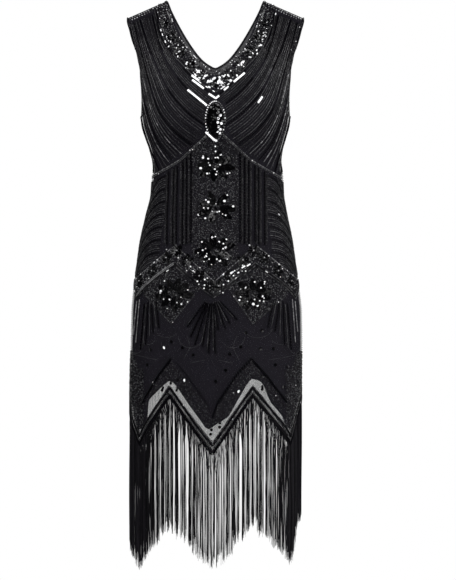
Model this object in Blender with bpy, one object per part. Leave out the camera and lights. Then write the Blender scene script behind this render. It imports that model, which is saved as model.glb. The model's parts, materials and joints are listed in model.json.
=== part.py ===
"""Sleeveless flapper dress: a beaded net shell over a lining, with a zigzag hem and a long fringe.

The dress keeps the hollow shape of a general figure. The row frame has +Z up and +X to the
wearer's left, the front faces -Y, and the origin lies midway between the two shoulder seams.
Tables and sizes are in millimetres. A drop is measured down from the neck point, where a
shoulder seam meets the neckline.
"""

import math
from bisect import bisect_right

import bmesh
import bpy
from mathutils import Vector

MM = 0.001
FRONT = -1
BACK = 1

# Heights, as drops below the neck point.
ORIGIN_DROP = 18.0
SHOULDER_TIP_DROP = 35.0
UNDERARM_DROP = 232.0
HEM_PEAK_DROP = 791.0
HEM_POINT_DROP = 888.0
HEM_CENTRE_EXTRA = 18.0
HEM_BACK_EXTRA = 5.0
LINING_PEAK_DROP = 754.0
LINING_POINT_DROP = 856.0

# Shoulder and armhole.
NECK_POINT_X = 97.0
SHOULDER_TIP_X = 177.0
SHOULDER_ROLL = 95.0
ARMHOLE_RATE = 3.4
ARMHOLE_REACH = 57.0

# The hem has one point every 60 degrees round the skirt.
HEM_PITCH = 60.0
HEM_POINT_SHARE = 0.98

# Cloth and trims.
NET_THICKNESS = 1.0
LINING_THICKNESS = 1.0
LINING_GAP = 1.8
SEAM_HALF_GAP = 0.2
TRIM_GAP = 0.8
BINDING_WIDTH = 6.0
BINDING_THICKNESS = 1.4
BORDER_HEIGHT = 26.0
BORDER_THICKNESS = 1.6
HIP_LINE_HEIGHT = 11.0
EMPIRE_LINE_HEIGHT = 7.0
LINE_THICKNESS = 1.4

# Fringe.
STRANDS_PER_SIDE = 78
STRAND_SHARE = 0.56
STRAND_TIP_SCALE = 0.7
STRIP_GAP = 0.8
STRIP_HEIGHT = 6.0
STRIP_THICKNESS = 1.8

# Panel grids. The columns of half a panel run from its centre to its side. One lies at the
# neck point, and others at the hem's points and peaks.
NECK_PLACE = 0.4802
HALF_COLUMNS = (0.0, 0.11, 0.22, 1 / 3, 0.41, 0.45, 0.47, NECK_PLACE, 0.57, 2 / 3, 0.78, 0.89, 1.0)
COLUMNS = tuple(-u for u in HALF_COLUMNS[:0:-1]) + HALF_COLUMNS
YOKE_ROWS = 9
BODY_DROPS = (248, 272, 296, 320, 341, 360, 382, 415, 460, 520, 590, 655)
SKIRT_ROWS = 5
LINING_YOKE_ROWS = 9
LINING_BODY_DROPS = (262, 296, 328, 362, 405, 455, 520, 600)
LINING_SKIRT_ROWS = 3

# The figure: drop, half width, depth in front of and behind the side seams. Above the
# underarm it runs on past the armhole edges, at which the panels stop.
BODY = (
    (0, 211, 64, 62),
    (40, 211, 70, 70),
    (60, 205, 74, 77),
    (82, 198, 79, 84),
    (106, 187.5, 84, 89),
    (130, 181.5, 90, 93),
    (154, 172.5, 98, 95),
    (178, 162.5, 106, 96),
    (204, 154, 114, 94),
    (228, 148.5, 119, 91),
    (252, 145, 119, 86),
    (274, 138.5, 115, 80),
    (298, 131, 106, 75),
    (322, 127.5, 99, 71),
    (346, 129.5, 96, 72),
    (362, 131, 97, 75),
    (382, 131.5, 99, 80),
    (430, 140.5, 106, 95),
    (478, 151, 112, 108),
    (526, 158, 117, 117),
    (574, 165, 120, 121),
    (622, 169.5, 121, 122),
    (730, 171, 123, 123),
    (802, 171.5, 124, 124),
    (1150, 171.5, 124, 124),
)

# How far both side seams hang to the wearer's left of their places: drop, shift.
SWAY = (
    (250, 0.0),
    (298, 1.2),
    (320, 2.6),
    (342, 4.4),
    (362, 3.8),
    (400, 3.0),
    (430, 2.0),
    (600, 1.6),
    (690, 1.0),
    (750, -0.6),
    (850, -1.4),
    (1150, -1.8),
)

# The front neckline: distance from the centre, drop.
NECKLINE = (
    (0, 139),
    (11, 134),
    (22, 126),
    (30, 118),
    (43, 101),
    (59, 76),
    (77, 43),
    (87, 22),
    (97, 0),
)
BACK_NECK_SCALE = 1.15
LINING_NECK_INSET = 26.0

# The beaded line round the hips: degrees from the centre, drop.
HIP_LINE = (
    (0, 590),
    (30, 527),
    (70.2, 592),
    (90, 560),
)

# The line under the bust: distance from the centre, drop. On the front it dips at the centre
# to pass below the medallion.
EMPIRE_LINE = (
    (0, 258),
    (17, 272),
    (44, 296),
    (70, 320),
    (96, 335),
    (130, 353),
)
EMPIRE_DIP_DROP = 289.0

# Soft cups of the front: distance from the centre, drop, fullness and spread each way.
CUP_X = 76.0
CUP_DROP = 236.0
CUP_FULLNESS = 9.0
CUP_SPREAD_X = 38.0
CUP_SPREAD_DROP = 50.0

# Soft folds of the skirt: folds in a full turn, depth, phase in radians.
SKIRT_FOLDS = (
    (7, 1.8, 0.4),
    (11, 1.2, 2.1),
)
FOLDS_START_DROP = 560.0
FOLDS_FULL_DROP = 800.0

# How far the skirt hangs turned: degrees from the centre, shift in degrees at the hem.
TWIST = {
    FRONT: (
        (-90, 0.0),
        (-60, -0.6),
        (-30, -1.8),
        (0, -2.0),
        (30, -4.8),
        (60, 0.5),
        (90, 0.0),
    ),
    BACK: (
        (-90, 0.0),
        (-60, -0.8),
        (-30, -3.2),
        (0, -2.3),
        (30, -4.3),
        (60, 0.0),
        (90, 0.0),
    ),
}
TWIST_START_DROP = 470.0
TWIST_FULL_DROP = 720.0

# The fringe's lower end: degrees from the centre, drop.
FRINGE_TIPS = (
    (-90, 1058),
    (-83, 1066),
    (-76, 1102),
    (-60, 1130),
    (-30, 1046),
    (0, 1132),
    (30, 1046),
    (60, 1126),
    (68, 1112),
    (72, 1080),
    (76, 1044),
    (90, 1024),
)

# Sequin flowers: node name, side, centre X, centre drop, radius, petals, turn in degrees.
FLOWERS = (
    ("flower_front_upper", FRONT, 0, 333, 35, 5, 10),
    ("flower_front_middle", FRONT, 0, 418, 35, 5, 46),
    ("flower_front_lower", FRONT, 0, 505, 40, 6, 20),
    ("flower_hip_right", FRONT, -80, 590, 38, 6, 5),
    ("flower_hip_left", FRONT, 80, 590, 38, 6, 25),
    ("flower_back_upper", BACK, 0, 350, 35, 5, 30),
    ("flower_back_lower", BACK, 0, 480, 40, 6, 0),
)
FLOWER_THICKNESS = 1.6
PETAL_DEPTH = 0.36
MEDALLION_HALF_WIDTH = 19.0
MEDALLION_HALF_HEIGHT = 38.0
MEDALLION_DROP = 245.0
MEDALLION_THICKNESS = 3.2
ORNAMENT_UNDERSIDE = 0.2
ORNAMENT_SEGMENTS = 20
ORNAMENT_RINGS = 6


# ---------------------------------------------------------------- shape of the figure


def smooth_between(table, at, column):
    """Value of one column of a table at a place, by a cubic that doesn't overshoot."""
    places = [row[0] for row in table]
    values = [row[column] for row in table]
    if at <= places[0]:
        return values[0]
    if at >= places[-1]:
        return values[-1]
    k = bisect_right(places, at) - 1

    def rate(i):
        return (values[i + 1] - values[i]) / (places[i + 1] - places[i])

    def slope(i):
        if i == 0 or i == len(table) - 1:
            return 0.0
        before, after = rate(i - 1), rate(i)
        if before * after <= 0:
            return 0.0
        return 2 * before * after / (before + after)

    span = places[k + 1] - places[k]
    t = (at - places[k]) / span
    start = (1 + 2 * t) * (1 - t) ** 2 * values[k] + t * (1 - t) ** 2 * span * slope(k)
    end = t * t * (3 - 2 * t) * values[k + 1] - t * t * (1 - t) * span * slope(k + 1)
    return start + end


def straight_between(table, at):
    """Value of a two-column table at a place, along straight lines."""
    for (x0, v0), (x1, v1) in zip(table, table[1:]):
        if at <= x1:
            return v0 + (v1 - v0) * (at - x0) / (x1 - x0)
    return table[-1][1]


def ease(low, high, at):
    """0 below low, 1 above high, and a smooth step between."""
    t = min(max((at - low) / (high - low), 0.0), 1.0)
    return t * t * (3 - 2 * t)


def reach_degrees(drop):
    """How far round the figure a panel reaches: to the side seam, or short of it at the armhole."""
    if drop >= UNDERARM_DROP:
        return 90.0
    return max(ARMHOLE_REACH, 90.0 - ARMHOLE_RATE * math.sqrt(UNDERARM_DROP - drop))


def seam_drop(x):
    """Drop of the sloping shoulder seam at a distance from the centre."""
    slope = SHOULDER_TIP_DROP / (SHOULDER_TIP_X - NECK_POINT_X)
    return slope * (abs(x) - NECK_POINT_X)


def shoulder_roll(below_seam):
    """Share of the chest's full depth, which the cloth gains as it rolls over the shoulder."""
    t = min(max(below_seam / SHOULDER_ROLL, 0.0), 1.0)
    return math.sqrt(1 - (1 - t) ** 2)


def cup_fullness(x, drop):
    across = (abs(x) - CUP_X) / CUP_SPREAD_X
    down = (drop - CUP_DROP) / CUP_SPREAD_DROP
    return CUP_FULLNESS * math.exp(-across * across - down * down)


def fold_depth(degrees, drop):
    """How far a soft skirt fold stands out at an angle round the figure."""
    depth = 0.0
    for folds, height, phase in SKIRT_FOLDS:
        depth += height * math.cos(folds * math.radians(degrees) + phase)
    return depth * ease(FOLDS_START_DROP, FOLDS_FULL_DROP, drop)


def figure_x(degrees, drop):
    """Distance from the centre, at an angle round the figure."""
    share = math.sin(math.radians(degrees))
    return share * (smooth_between(BODY, drop, 1) + share * smooth_between(SWAY, drop, 1))


def panel_x(u, drop):
    return figure_x(u * reach_degrees(drop), drop)


def net_point(side, u, drop):
    """A point of the net's outer face. u runs from -1 to 1 across a panel."""
    degrees = u * reach_degrees(drop)
    turned = ease(TWIST_START_DROP, TWIST_FULL_DROP, drop)
    degrees += straight_between(TWIST[side], degrees) * turned
    x = figure_x(degrees, drop)
    depth = smooth_between(BODY, drop, 2 if side == FRONT else 3)
    y = depth * math.cos(math.radians(degrees)) * shoulder_roll(drop - seam_drop(x))
    if side == FRONT:
        y += cup_fullness(x, drop) * math.cos(math.radians(degrees))
    round_figure = degrees if side == FRONT else 180.0 - degrees
    fold = fold_depth(round_figure, drop)
    x += fold * math.sin(math.radians(degrees))
    y += fold * math.cos(math.radians(degrees))
    y = max(y, SEAM_HALF_GAP)
    return Vector((x, side * y, ORIGIN_DROP - drop)) * MM


def net_normal(side, u, drop):
    """The net's outward direction."""
    step_u, step_drop = 0.004, 0.6
    across = net_point(side, u + step_u, drop) - net_point(side, u - step_u, drop)
    down = net_point(side, u, drop + step_drop) - net_point(side, u, drop - step_drop)
    normal = down.cross(across) if side == FRONT else across.cross(down)
    if normal.length < 1e-12:
        return Vector((math.copysign(1, u), 0, 0))
    return normal.normalized()


def u_at(x, drop):
    """The place across a panel that lies at a distance from the centre."""
    half, shift = smooth_between(BODY, drop, 1), smooth_between(SWAY, drop, 1)
    share = 2 * x / (half + math.sqrt(half * half + 4 * shift * x))
    return math.degrees(math.asin(min(max(share, -1.0), 1.0))) / reach_degrees(drop)


# ---------------------------------------------------------------- edges


def edge_drop(side, x, inset):
    """Drop of a panel's upper edge, along the neckline and then the shoulder seam."""
    if abs(x) >= NECK_POINT_X:
        return seam_drop(x)
    scale = 1.0 if side == FRONT else BACK_NECK_SCALE
    lower = inset * (1 - (x / NECK_POINT_X) ** 2)
    return smooth_between(NECKLINE, abs(x), 1) * scale + lower


def top_drop(side, u, inset=0.0):
    """Drop at which a column of a panel starts, found by halving."""
    low, high = 0.0, 220.0
    for _ in range(40):
        middle = (low + high) / 2
        if middle < edge_drop(side, panel_x(u, middle), inset):
            low = middle
        else:
            high = middle
    return high


def zigzag(degrees):
    """0 at a peak of the hem and 1 at a point, which is a little blunt."""
    return min(abs((degrees / HEM_PITCH) % 1.0 - 0.5) * 2, HEM_POINT_SHARE)


def hem_drop(side, u):
    degrees = 90.0 * u
    point = HEM_POINT_DROP + HEM_CENTRE_EXTRA * math.cos(math.radians(degrees)) ** 4
    lower = HEM_BACK_EXTRA * math.cos(math.radians(degrees)) if side == BACK else 0.0
    return HEM_PEAK_DROP + (point - HEM_PEAK_DROP) * zigzag(degrees) + lower


def lining_hem_drop(u):
    return LINING_PEAK_DROP + (LINING_POINT_DROP - LINING_PEAK_DROP) * zigzag(90.0 * u)


def fringe_drop(u):
    return straight_between(FRINGE_TIPS, 90.0 * u)


def hip_line_drop(u):
    return straight_between(HIP_LINE, abs(90.0 * u))


def empire_line_drop(side, u):
    if side == FRONT and u == 0:
        return EMPIRE_DIP_DROP
    drop = EMPIRE_LINE[0][1]
    for _ in range(8):
        drop = straight_between(EMPIRE_LINE, abs(panel_x(u, drop)))
    return drop


# ---------------------------------------------------------------- objects


def clear_scene():
    for old in list(bpy.data.objects):
        bpy.data.objects.remove(old, do_unlink=True)


def make_collection(name):
    made = bpy.data.collections.new(name)
    bpy.context.scene.collection.children.link(made)
    return made


def make_material(name, colour, roughness, metallic=0.0):
    made = bpy.data.materials.new(name)
    made.use_nodes = True
    shader = made.node_tree.nodes["Principled BSDF"]
    shader.inputs["Base Color"].default_value = (*colour, 1.0)
    shader.inputs["Roughness"].default_value = roughness
    shader.inputs["Metallic"].default_value = metallic
    return made


def make_object(name, bm, collection, material):
    """One named object from a bmesh."""
    mesh = bpy.data.meshes.new(name)
    bm.to_mesh(mesh)
    bm.free()
    made = bpy.data.objects.new(name, mesh)
    collection.objects.link(made)
    mesh.materials.append(material)
    mesh.shade_smooth()
    return made


def wall_from_grid(columns, rows, outer, inner, closed=False):
    """A closed wall: a grid put in place as its outer face, and extruded to its inner one."""
    bm = bmesh.new()
    bmesh.ops.create_grid(bm, x_segments=columns, y_segments=rows, size=0.5)
    column_of = bm.verts.layers.int.new("column")
    row_of = bm.verts.layers.int.new("row")
    for v in bm.verts:
        v[column_of] = round((v.co.x + 0.5) * columns)
        v[row_of] = round((0.5 - v.co.y) * rows)
        v.co = outer(v[column_of], v[row_of])
    if closed:
        bmesh.ops.remove_doubles(bm, verts=bm.verts, dist=1e-7)
    made = bmesh.ops.extrude_face_region(bm, geom=bm.faces[:], use_keep_orig=True)
    for v in made["geom"]:
        if isinstance(v, bmesh.types.BMVert):
            v.co = inner(v[column_of], v[row_of])
    bmesh.ops.recalc_face_normals(bm, faces=bm.faces)
    return bm


def sunk_point(side, u, drop, depth):
    """A point of the net's outer face, moved inwards, that stays on its own side of the seams."""
    point = net_point(side, u, drop) - net_normal(side, u, drop) * depth * MM
    point.y = side * max(side * point.y, SEAM_HALF_GAP * MM)
    return point


def panel_drops(top, hem, yoke_rows, body_drops, skirt_rows):
    """Drops of one column's points, from its top edge to its hem."""
    drops = []
    for k in range(yoke_rows):
        share = (1 - math.cos(math.pi * k / yoke_rows)) / 2
        drops.append(top + (UNDERARM_DROP - top) * share)
    drops.append(UNDERARM_DROP)
    drops += body_drops
    for k in range(1, skirt_rows + 1):
        drops.append(body_drops[-1] + (hem - body_drops[-1]) * k / skirt_rows)
    return drops


def make_panel(name, side, drops_of, depth, thickness, collection, material):
    """A front or back panel, whose outer face lies a depth inside the net's own."""
    points = [[(u, drop) for drop in drops_of(side, u)] for u in COLUMNS]
    bm = wall_from_grid(
        len(COLUMNS) - 1,
        len(points[0]) - 1,
        lambda column, row: sunk_point(side, *points[column][row], depth),
        lambda column, row: sunk_point(side, *points[column][row], depth + thickness),
    )
    return make_object(name, bm, collection, material)


def net_drops(side, u):
    return panel_drops(top_drop(side, u), hem_drop(side, u), YOKE_ROWS, BODY_DROPS, SKIRT_ROWS)


def lining_drops(side, u):
    return panel_drops(
        top_drop(side, u, LINING_NECK_INSET),
        lining_hem_drop(u),
        LINING_YOKE_ROWS,
        LINING_BODY_DROPS,
        LINING_SKIRT_ROWS,
    )


def make_band(name, side, line, height, thickness, collection, material):
    """A raised band along a panel, whose line gives its middle drop at u."""

    def face(lift):
        def place(column, row):
            u = COLUMNS[column]
            return sunk_point(side, u, line(u) + (row - 0.5) * height, -lift)

        return place

    bm = wall_from_grid(len(COLUMNS) - 1, 1, face(TRIM_GAP + thickness), face(TRIM_GAP))
    return make_object(name, bm, collection, material)


def seam_station(u, drop):
    """A place where a binding crosses a seam, with its outward direction."""
    point = net_point(FRONT, u, drop)
    point.y = 0.0
    normal = net_normal(FRONT, u, drop) + net_normal(BACK, u, drop)
    normal.y = 0.0
    return point, normal.normalized()


def cloth_station(side, u, drop):
    return net_point(side, u, drop), net_normal(side, u, drop)


def neck_stations():
    """Places round the neckline, from one neck point along the front and back behind."""
    columns = [u for u in COLUMNS if abs(u) < NECK_PLACE + 1e-6]
    inner = []
    for before, after in zip(columns, columns[1:]):
        inner += [(before + after) / 2, after]
    inner.pop()
    stations = [seam_station(-NECK_PLACE, 0.0)]
    stations += [cloth_station(FRONT, u, top_drop(FRONT, u)) for u in inner]
    stations.append(seam_station(NECK_PLACE, 0.0))
    stations += [cloth_station(BACK, u, top_drop(BACK, u)) for u in reversed(inner)]
    return stations


def armhole_stations(x_sign):
    """Places round an armhole, from the shoulder tip down the front and up the back."""
    drops = {}
    for side in (FRONT, BACK):
        drops[side] = net_drops(side, 1.0)[: YOKE_ROWS + 1]
    stations = [seam_station(x_sign, drops[FRONT][0])]
    stations += [cloth_station(FRONT, x_sign, drop) for drop in drops[FRONT][1:-1]]
    stations.append(seam_station(x_sign, UNDERARM_DROP))
    stations += [cloth_station(BACK, x_sign, drop) for drop in reversed(drops[BACK][1:-1])]
    return stations


def make_binding(name, stations, turn, collection, material):
    """A narrow closed ring on the cloth, from the edge of an opening inwards."""
    count = len(stations)
    rails = []
    for k, (point, normal) in enumerate(stations):
        along = stations[(k + 1) % count][0] - stations[k - 1][0]
        rails.append((point, normal, normal.cross(along).normalized() * turn))

    def face(lift):
        def place(column, row):
            point, normal, inwards = rails[column % count]
            return point + (normal * lift + inwards * row * BINDING_WIDTH) * MM

        return place

    bm = wall_from_grid(
        count, 1, face(TRIM_GAP + BINDING_THICKNESS), face(TRIM_GAP), closed=True
    )
    return make_object(name, bm, collection, material)


def make_ornament(name, side, x, drop, outline, thickness, collection, material):
    """A domed ornament on the cloth. outline gives its reach across and down at an angle."""
    bm = bmesh.new()
    bmesh.ops.create_uvsphere(
        bm, u_segments=ORNAMENT_SEGMENTS, v_segments=ORNAMENT_RINGS, radius=1.0
    )
    for v in bm.verts:
        angle = math.atan2(v.co.y, v.co.x)
        share = math.hypot(v.co.x, v.co.y)
        across, down = outline(angle)
        lift = TRIM_GAP + ORNAMENT_UNDERSIDE * (1 + min(v.co.z, 0.0))
        lift += (thickness - ORNAMENT_UNDERSIDE) * max(v.co.z, 0.0)
        at = drop + share * down
        v.co = sunk_point(side, u_at(x + share * across, at), at, -lift)
    bmesh.ops.recalc_face_normals(bm, faces=bm.faces)
    return make_object(name, bm, collection, material)


def flower_outline(radius, petals, turn):
    def outline(angle):
        petal = abs(math.cos(petals * (angle - math.radians(turn)) / 2))
        reach = radius * (1 - PETAL_DEPTH * (1 - petal))
        return reach * math.cos(angle), reach * math.sin(angle)

    return outline


def medallion_outline(angle):
    """An oval that comes to a soft point at its lower end."""
    down = math.sin(angle)
    narrowing = 1 - 0.28 * max(down, 0.0) ** 2
    return MEDALLION_HALF_WIDTH * math.cos(angle) * narrowing, MEDALLION_HALF_HEIGHT * down


def make_fringe(name, side, collection, material):
    """A strip along the hem with square strands that hang from it as one body."""
    pitch = 2.0 / STRANDS_PER_SIDE
    edges = []
    for k in range(STRANDS_PER_SIDE):
        start = -1.0 + k * pitch + pitch * (1 - STRAND_SHARE) / 2
        edges += [start, start + pitch * STRAND_SHARE]
    edges = [-1.0, *edges, 1.0]

    def face(depth):
        def place(column, row):
            u = edges[column]
            drop = hem_drop(side, u) + STRIP_GAP + row * STRIP_HEIGHT
            return sunk_point(side, u, drop, depth)

        return place

    columns = len(edges) - 1
    bm = wall_from_grid(columns, 1, face(0.0), face(STRIP_THICKNESS))
    column_of = bm.verts.layers.int["column"]
    row_of = bm.verts.layers.int["row"]
    roots = []
    for bottom in bm.faces:
        if any(v[row_of] == 0 for v in bottom.verts):
            continue
        places = {v[column_of] for v in bottom.verts}
        if len(places) == 2 and min(places) % 2 == 1:
            roots.append(bottom)
    tips = bmesh.ops.extrude_discrete_faces(bm, faces=roots)["faces"]
    for tip in tips:
        u = sum(edges[v[column_of]] for v in tip.verts) / len(tip.verts)
        centre = tip.calc_center_median()
        for v in tip.verts:
            v.co = centre + (v.co - centre) * STRAND_TIP_SCALE
            v.co.z = (ORIGIN_DROP - fringe_drop(u)) * MM
    bmesh.ops.recalc_face_normals(bm, faces=bm.faces)
    return make_object(name, bm, collection, material)


def make_all():
    clear_scene()
    dress = make_collection("flapper_dress")
    net = make_material("beaded_net", (0.012, 0.011, 0.014), 0.55)
    satin = make_material("lining_satin", (0.009, 0.008, 0.011), 0.45)
    beads = make_material("bead_trim", (0.03, 0.03, 0.034), 0.25)
    sequins = make_material("sequins", (0.09, 0.09, 0.1), 0.2, 0.6)
    strands = make_material("fringe_beads", (0.01, 0.01, 0.012), 0.3)

    lining_depth = NET_THICKNESS + LINING_GAP
    for word, side in (("front", FRONT), ("back", BACK)):
        make_panel(f"{word}_panel", side, net_drops, 0.0, NET_THICKNESS, dress, net)
        make_panel(
            f"{word}_lining", side, lining_drops, lining_depth, LINING_THICKNESS, dress, satin
        )
        make_band(
            f"hem_border_{word}",
            side,
            lambda u: hem_drop(side, u) - 3.0 - BORDER_HEIGHT / 2,
            BORDER_HEIGHT,
            BORDER_THICKNESS,
            dress,
            beads,
        )
        make_band(
            f"hip_chevron_{word}", side, hip_line_drop, HIP_LINE_HEIGHT, LINE_THICKNESS, dress, beads
        )
        make_band(
            f"empire_chevron_{word}",
            side,
            lambda u: empire_line_drop(side, u),
            EMPIRE_LINE_HEIGHT,
            LINE_THICKNESS,
            dress,
            beads,
        )
        make_fringe(f"fringe_{word}", side, dress, strands)

    make_binding("neck_binding", neck_stations(), -1, dress, beads)
    make_binding("armhole_binding_left", armhole_stations(1), -1, dress, beads)
    make_binding("armhole_binding_right", armhole_stations(-1), 1, dress, beads)

    for name, side, x, drop, radius, petals, turn in FLOWERS:
        outline = flower_outline(radius, petals, turn)
        make_ornament(name, side, x, drop, outline, FLOWER_THICKNESS, dress, sequins)
    make_ornament(
        "medallion", FRONT, 0.0, MEDALLION_DROP, medallion_outline, MEDALLION_THICKNESS, dress, sequins
    )


make_all()
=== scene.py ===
"""Looks of a sleeveless flapper dress: beads and sequins on a sheer net, a lining, and a fringe.

The front faces -Y and +X is the wearer's left. Tables and sizes are in millimetres. A place on
the cloth is given by an angle round the figure from the centre of its side, or by the distance
from the centre, and by a drop below the neck point.
"""

import json
import math

import bmesh
import bpy
import numpy as np
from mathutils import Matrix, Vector

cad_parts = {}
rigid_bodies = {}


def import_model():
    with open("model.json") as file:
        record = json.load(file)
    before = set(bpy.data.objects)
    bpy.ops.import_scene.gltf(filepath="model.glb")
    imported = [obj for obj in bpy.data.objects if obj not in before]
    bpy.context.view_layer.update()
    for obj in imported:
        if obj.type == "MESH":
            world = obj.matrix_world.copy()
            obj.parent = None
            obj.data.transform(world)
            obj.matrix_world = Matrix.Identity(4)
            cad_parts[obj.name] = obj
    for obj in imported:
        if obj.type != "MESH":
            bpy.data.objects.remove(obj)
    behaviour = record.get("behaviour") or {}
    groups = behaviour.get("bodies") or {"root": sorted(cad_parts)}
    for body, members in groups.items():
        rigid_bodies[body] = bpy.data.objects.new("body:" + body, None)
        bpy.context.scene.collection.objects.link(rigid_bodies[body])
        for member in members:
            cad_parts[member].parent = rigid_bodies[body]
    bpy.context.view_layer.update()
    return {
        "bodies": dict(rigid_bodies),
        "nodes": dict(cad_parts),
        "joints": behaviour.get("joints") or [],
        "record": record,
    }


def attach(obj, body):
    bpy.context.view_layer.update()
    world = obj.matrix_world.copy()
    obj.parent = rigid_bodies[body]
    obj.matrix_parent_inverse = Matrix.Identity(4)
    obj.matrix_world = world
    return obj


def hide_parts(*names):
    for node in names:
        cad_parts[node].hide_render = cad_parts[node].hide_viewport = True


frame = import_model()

MM = 0.001
FRONT = -1
BACK = 1
SIDES = (("front", FRONT), ("back", BACK))
chance = np.random.default_rng(1926)

# ---------------- sizes

ORIGIN_DROP = 18.0
SHOULDER_TIP_DROP = 35.0
UNDERARM_DROP = 232.0
HEM_PEAK_DROP = 791.0
HEM_POINT_DROP = 888.0
HEM_CENTRE_EXTRA = 18.0
HEM_BACK_EXTRA = 5.0
HEM_PITCH = 60.0
HEM_POINT_CUT = 0.98
NECK_POINT_X = 97.0
SHOULDER_TIP_X = 177.0
SHOULDER_ROLL = 95.0
ARMHOLE_RATE = 3.4
ARMHOLE_REACH = 57.0
SEAM_HALF_GAP = 0.02
HALVINGS = 36
DEGREES_PER_MM = 0.4
LAYOUT_PER_DEGREE = 0.0026
NET_THICKNESS = 0.5
SHARP_DEGREES = 75.0
LINING_DEPTH = 2.6
LINING_THICKNESS = 0.7
NECK_STRIP = 10.0

# The figure: drop, half width, depth in front of and behind the side seams. Above the
# underarm it runs on past the armhole edges, at which the cloth stops.
BODY = (
    (0, 211, 64, 62), (40, 211, 70, 70), (60, 205, 74, 77), (82, 198, 79, 84),
    (106, 187.5, 84, 89), (130, 181.5, 90, 93), (154, 172.5, 98, 95), (178, 162.5, 106, 96),
    (204, 154, 114, 94), (228, 148.5, 119, 91), (252, 145, 119, 86), (274, 138.5, 115, 80),
    (298, 131, 106, 75), (322, 127.5, 99, 71), (346, 129.5, 96, 72), (362, 131, 97, 75),
    (382, 131.5, 99, 80), (430, 140.5, 106, 95), (478, 151, 112, 108), (526, 158, 117, 117),
    (574, 165, 120, 121), (622, 169.5, 121, 122), (730, 171, 123, 123), (802, 171.5, 124, 124),
    (1150, 171.5, 124, 124),
)

# How far both side seams hang to the wearer's left of their places: drop, shift.
SWAY = (
    (250, 0.0), (298, 1.2), (320, 2.6), (342, 4.4), (362, 3.8), (400, 3.0), (430, 2.0),
    (600, 1.6), (690, 1.0), (750, -0.6), (850, -1.4), (1150, -1.8),
)

# The front neckline: distance from the centre, drop. The back's is deeper by a share.
NECKLINE = (
    (0, 139), (11, 134), (22, 126), (30, 118), (43, 101), (59, 76), (77, 43), (87, 22), (97, 0),
)
NECK_SCALE = {FRONT: 1.0, BACK: 1.15}
# Where across a panel the neckline meets the shoulder seam, as a share of its reach.
NECK_SHARE = 0.4802
# How much narrower the strip inside the neckline is at the shoulder.
STRIP_NARROWING = 0.52

CUP_X = 76.0
CUP_DROP = 236.0
CUP_FULLNESS = 9.0
CUP_SPREAD_X = 38.0
CUP_SPREAD_DROP = 50.0

# Soft folds of the skirt and fine creases: number in a full turn, slant in radians a metre,
# depth, phase, and the drops at which they start and are full.
FOLDS = (
    (7, 0.0, 1.8, 0.4, 560, 800), (11, 0.0, 1.2, 2.1, 560, 800), (23, 3.0, 0.35, 0.9, 600, 820),
    (9, 26.0, 0.35, 1.2, 300, 420),
)

# How far the skirt hangs turned: degrees from the centre, shift in degrees at the hem.
TWIST = {
    FRONT: ((-90, 0.0), (-60, -0.6), (-30, -1.8), (0, -2.0), (30, -4.8), (60, 0.5), (90, 0.0)),
    BACK: ((-90, 0.0), (-60, -0.8), (-30, -3.2), (0, -2.3), (30, -4.3), (60, 0.0), (90, 0.0)),
}
TWIST_DROPS = (470.0, 720.0)

# The lining's hem: degrees from the centre, drop.
LINING_HEM = {
    FRONT: (
        (-90, 768), (-80, 800), (-64, 856), (-51, 848), (-49.5, 797), (-38, 772), (-31, 756),
        (-26, 766), (-3, 854), (3.5, 842), (12, 828), (25, 768), (29.5, 753), (35.7, 757),
        (38.5, 769), (40.2, 783), (42.6, 799), (51.5, 827), (56, 850), (64, 856), (80, 800),
        (90, 768),
    ),
    BACK: (
        (-90, 764), (-80, 796), (-60, 846), (-52, 800), (-31, 742), (-24, 752), (0, 838),
        (24, 752), (31, 742), (52, 800), (60, 846), (80, 796), (90, 764),
    ),
}


# ---------------- shape of the figure


def smooth_curve(table, column):
    """A cubic through one column of a table that doesn't overshoot, for arrays of places."""
    places, values = (np.array([row[k] for row in table], float) for k in (0, column))
    rates = np.diff(values) / np.diff(places)
    before, after = rates[:-1], rates[1:]
    same_way = before * after > 0
    slopes = np.zeros(len(places))
    slopes[1:-1] = np.where(same_way, 2 * before * after / np.where(same_way, before + after, 1), 0)

    def at(place):
        place = np.clip(place, places[0], places[-1])
        k = np.clip(np.searchsorted(places, place, side="right") - 1, 0, len(rates) - 1)
        span = places[k + 1] - places[k]
        t = (place - places[k]) / span
        start = (1 + 2 * t) * (1 - t) ** 2 * values[k] + t * (1 - t) ** 2 * span * slopes[k]
        end = t * t * (3 - 2 * t) * values[k + 1] - t * t * (1 - t) * span * slopes[k + 1]
        return start + end

    return at


half_width = smooth_curve(BODY, 1)
depth_of = {FRONT: smooth_curve(BODY, 2), BACK: smooth_curve(BODY, 3)}
neck_curve = smooth_curve(NECKLINE, 1)
sway = smooth_curve(SWAY, 1)


def along_table(table, at):
    """Value of a two-column table at places, along straight lines."""
    return np.interp(at, [row[0] for row in table], [row[1] for row in table])


def ease(low, high, at):
    """0 below low, 1 above high, and a smooth step between."""
    t = np.clip((at - low) / (high - low), 0.0, 1.0)
    return t * t * (3 - 2 * t)


def unit(vectors):
    length = np.linalg.norm(vectors, axis=-1, keepdims=True)
    return vectors / np.maximum(length, 1e-12)


def reach_degrees(drop):
    """How far round a panel reaches: to the side seam, or short of it at the armhole."""
    short = 90.0 - ARMHOLE_RATE * np.sqrt(np.maximum(UNDERARM_DROP - drop, 0.0))
    return np.maximum(short, ARMHOLE_REACH)


def seam_drop(x):
    """Drop of the sloping shoulder seam at a distance from the centre."""
    slope = SHOULDER_TIP_DROP / (SHOULDER_TIP_X - NECK_POINT_X)
    return slope * (np.abs(x) - NECK_POINT_X)


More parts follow.
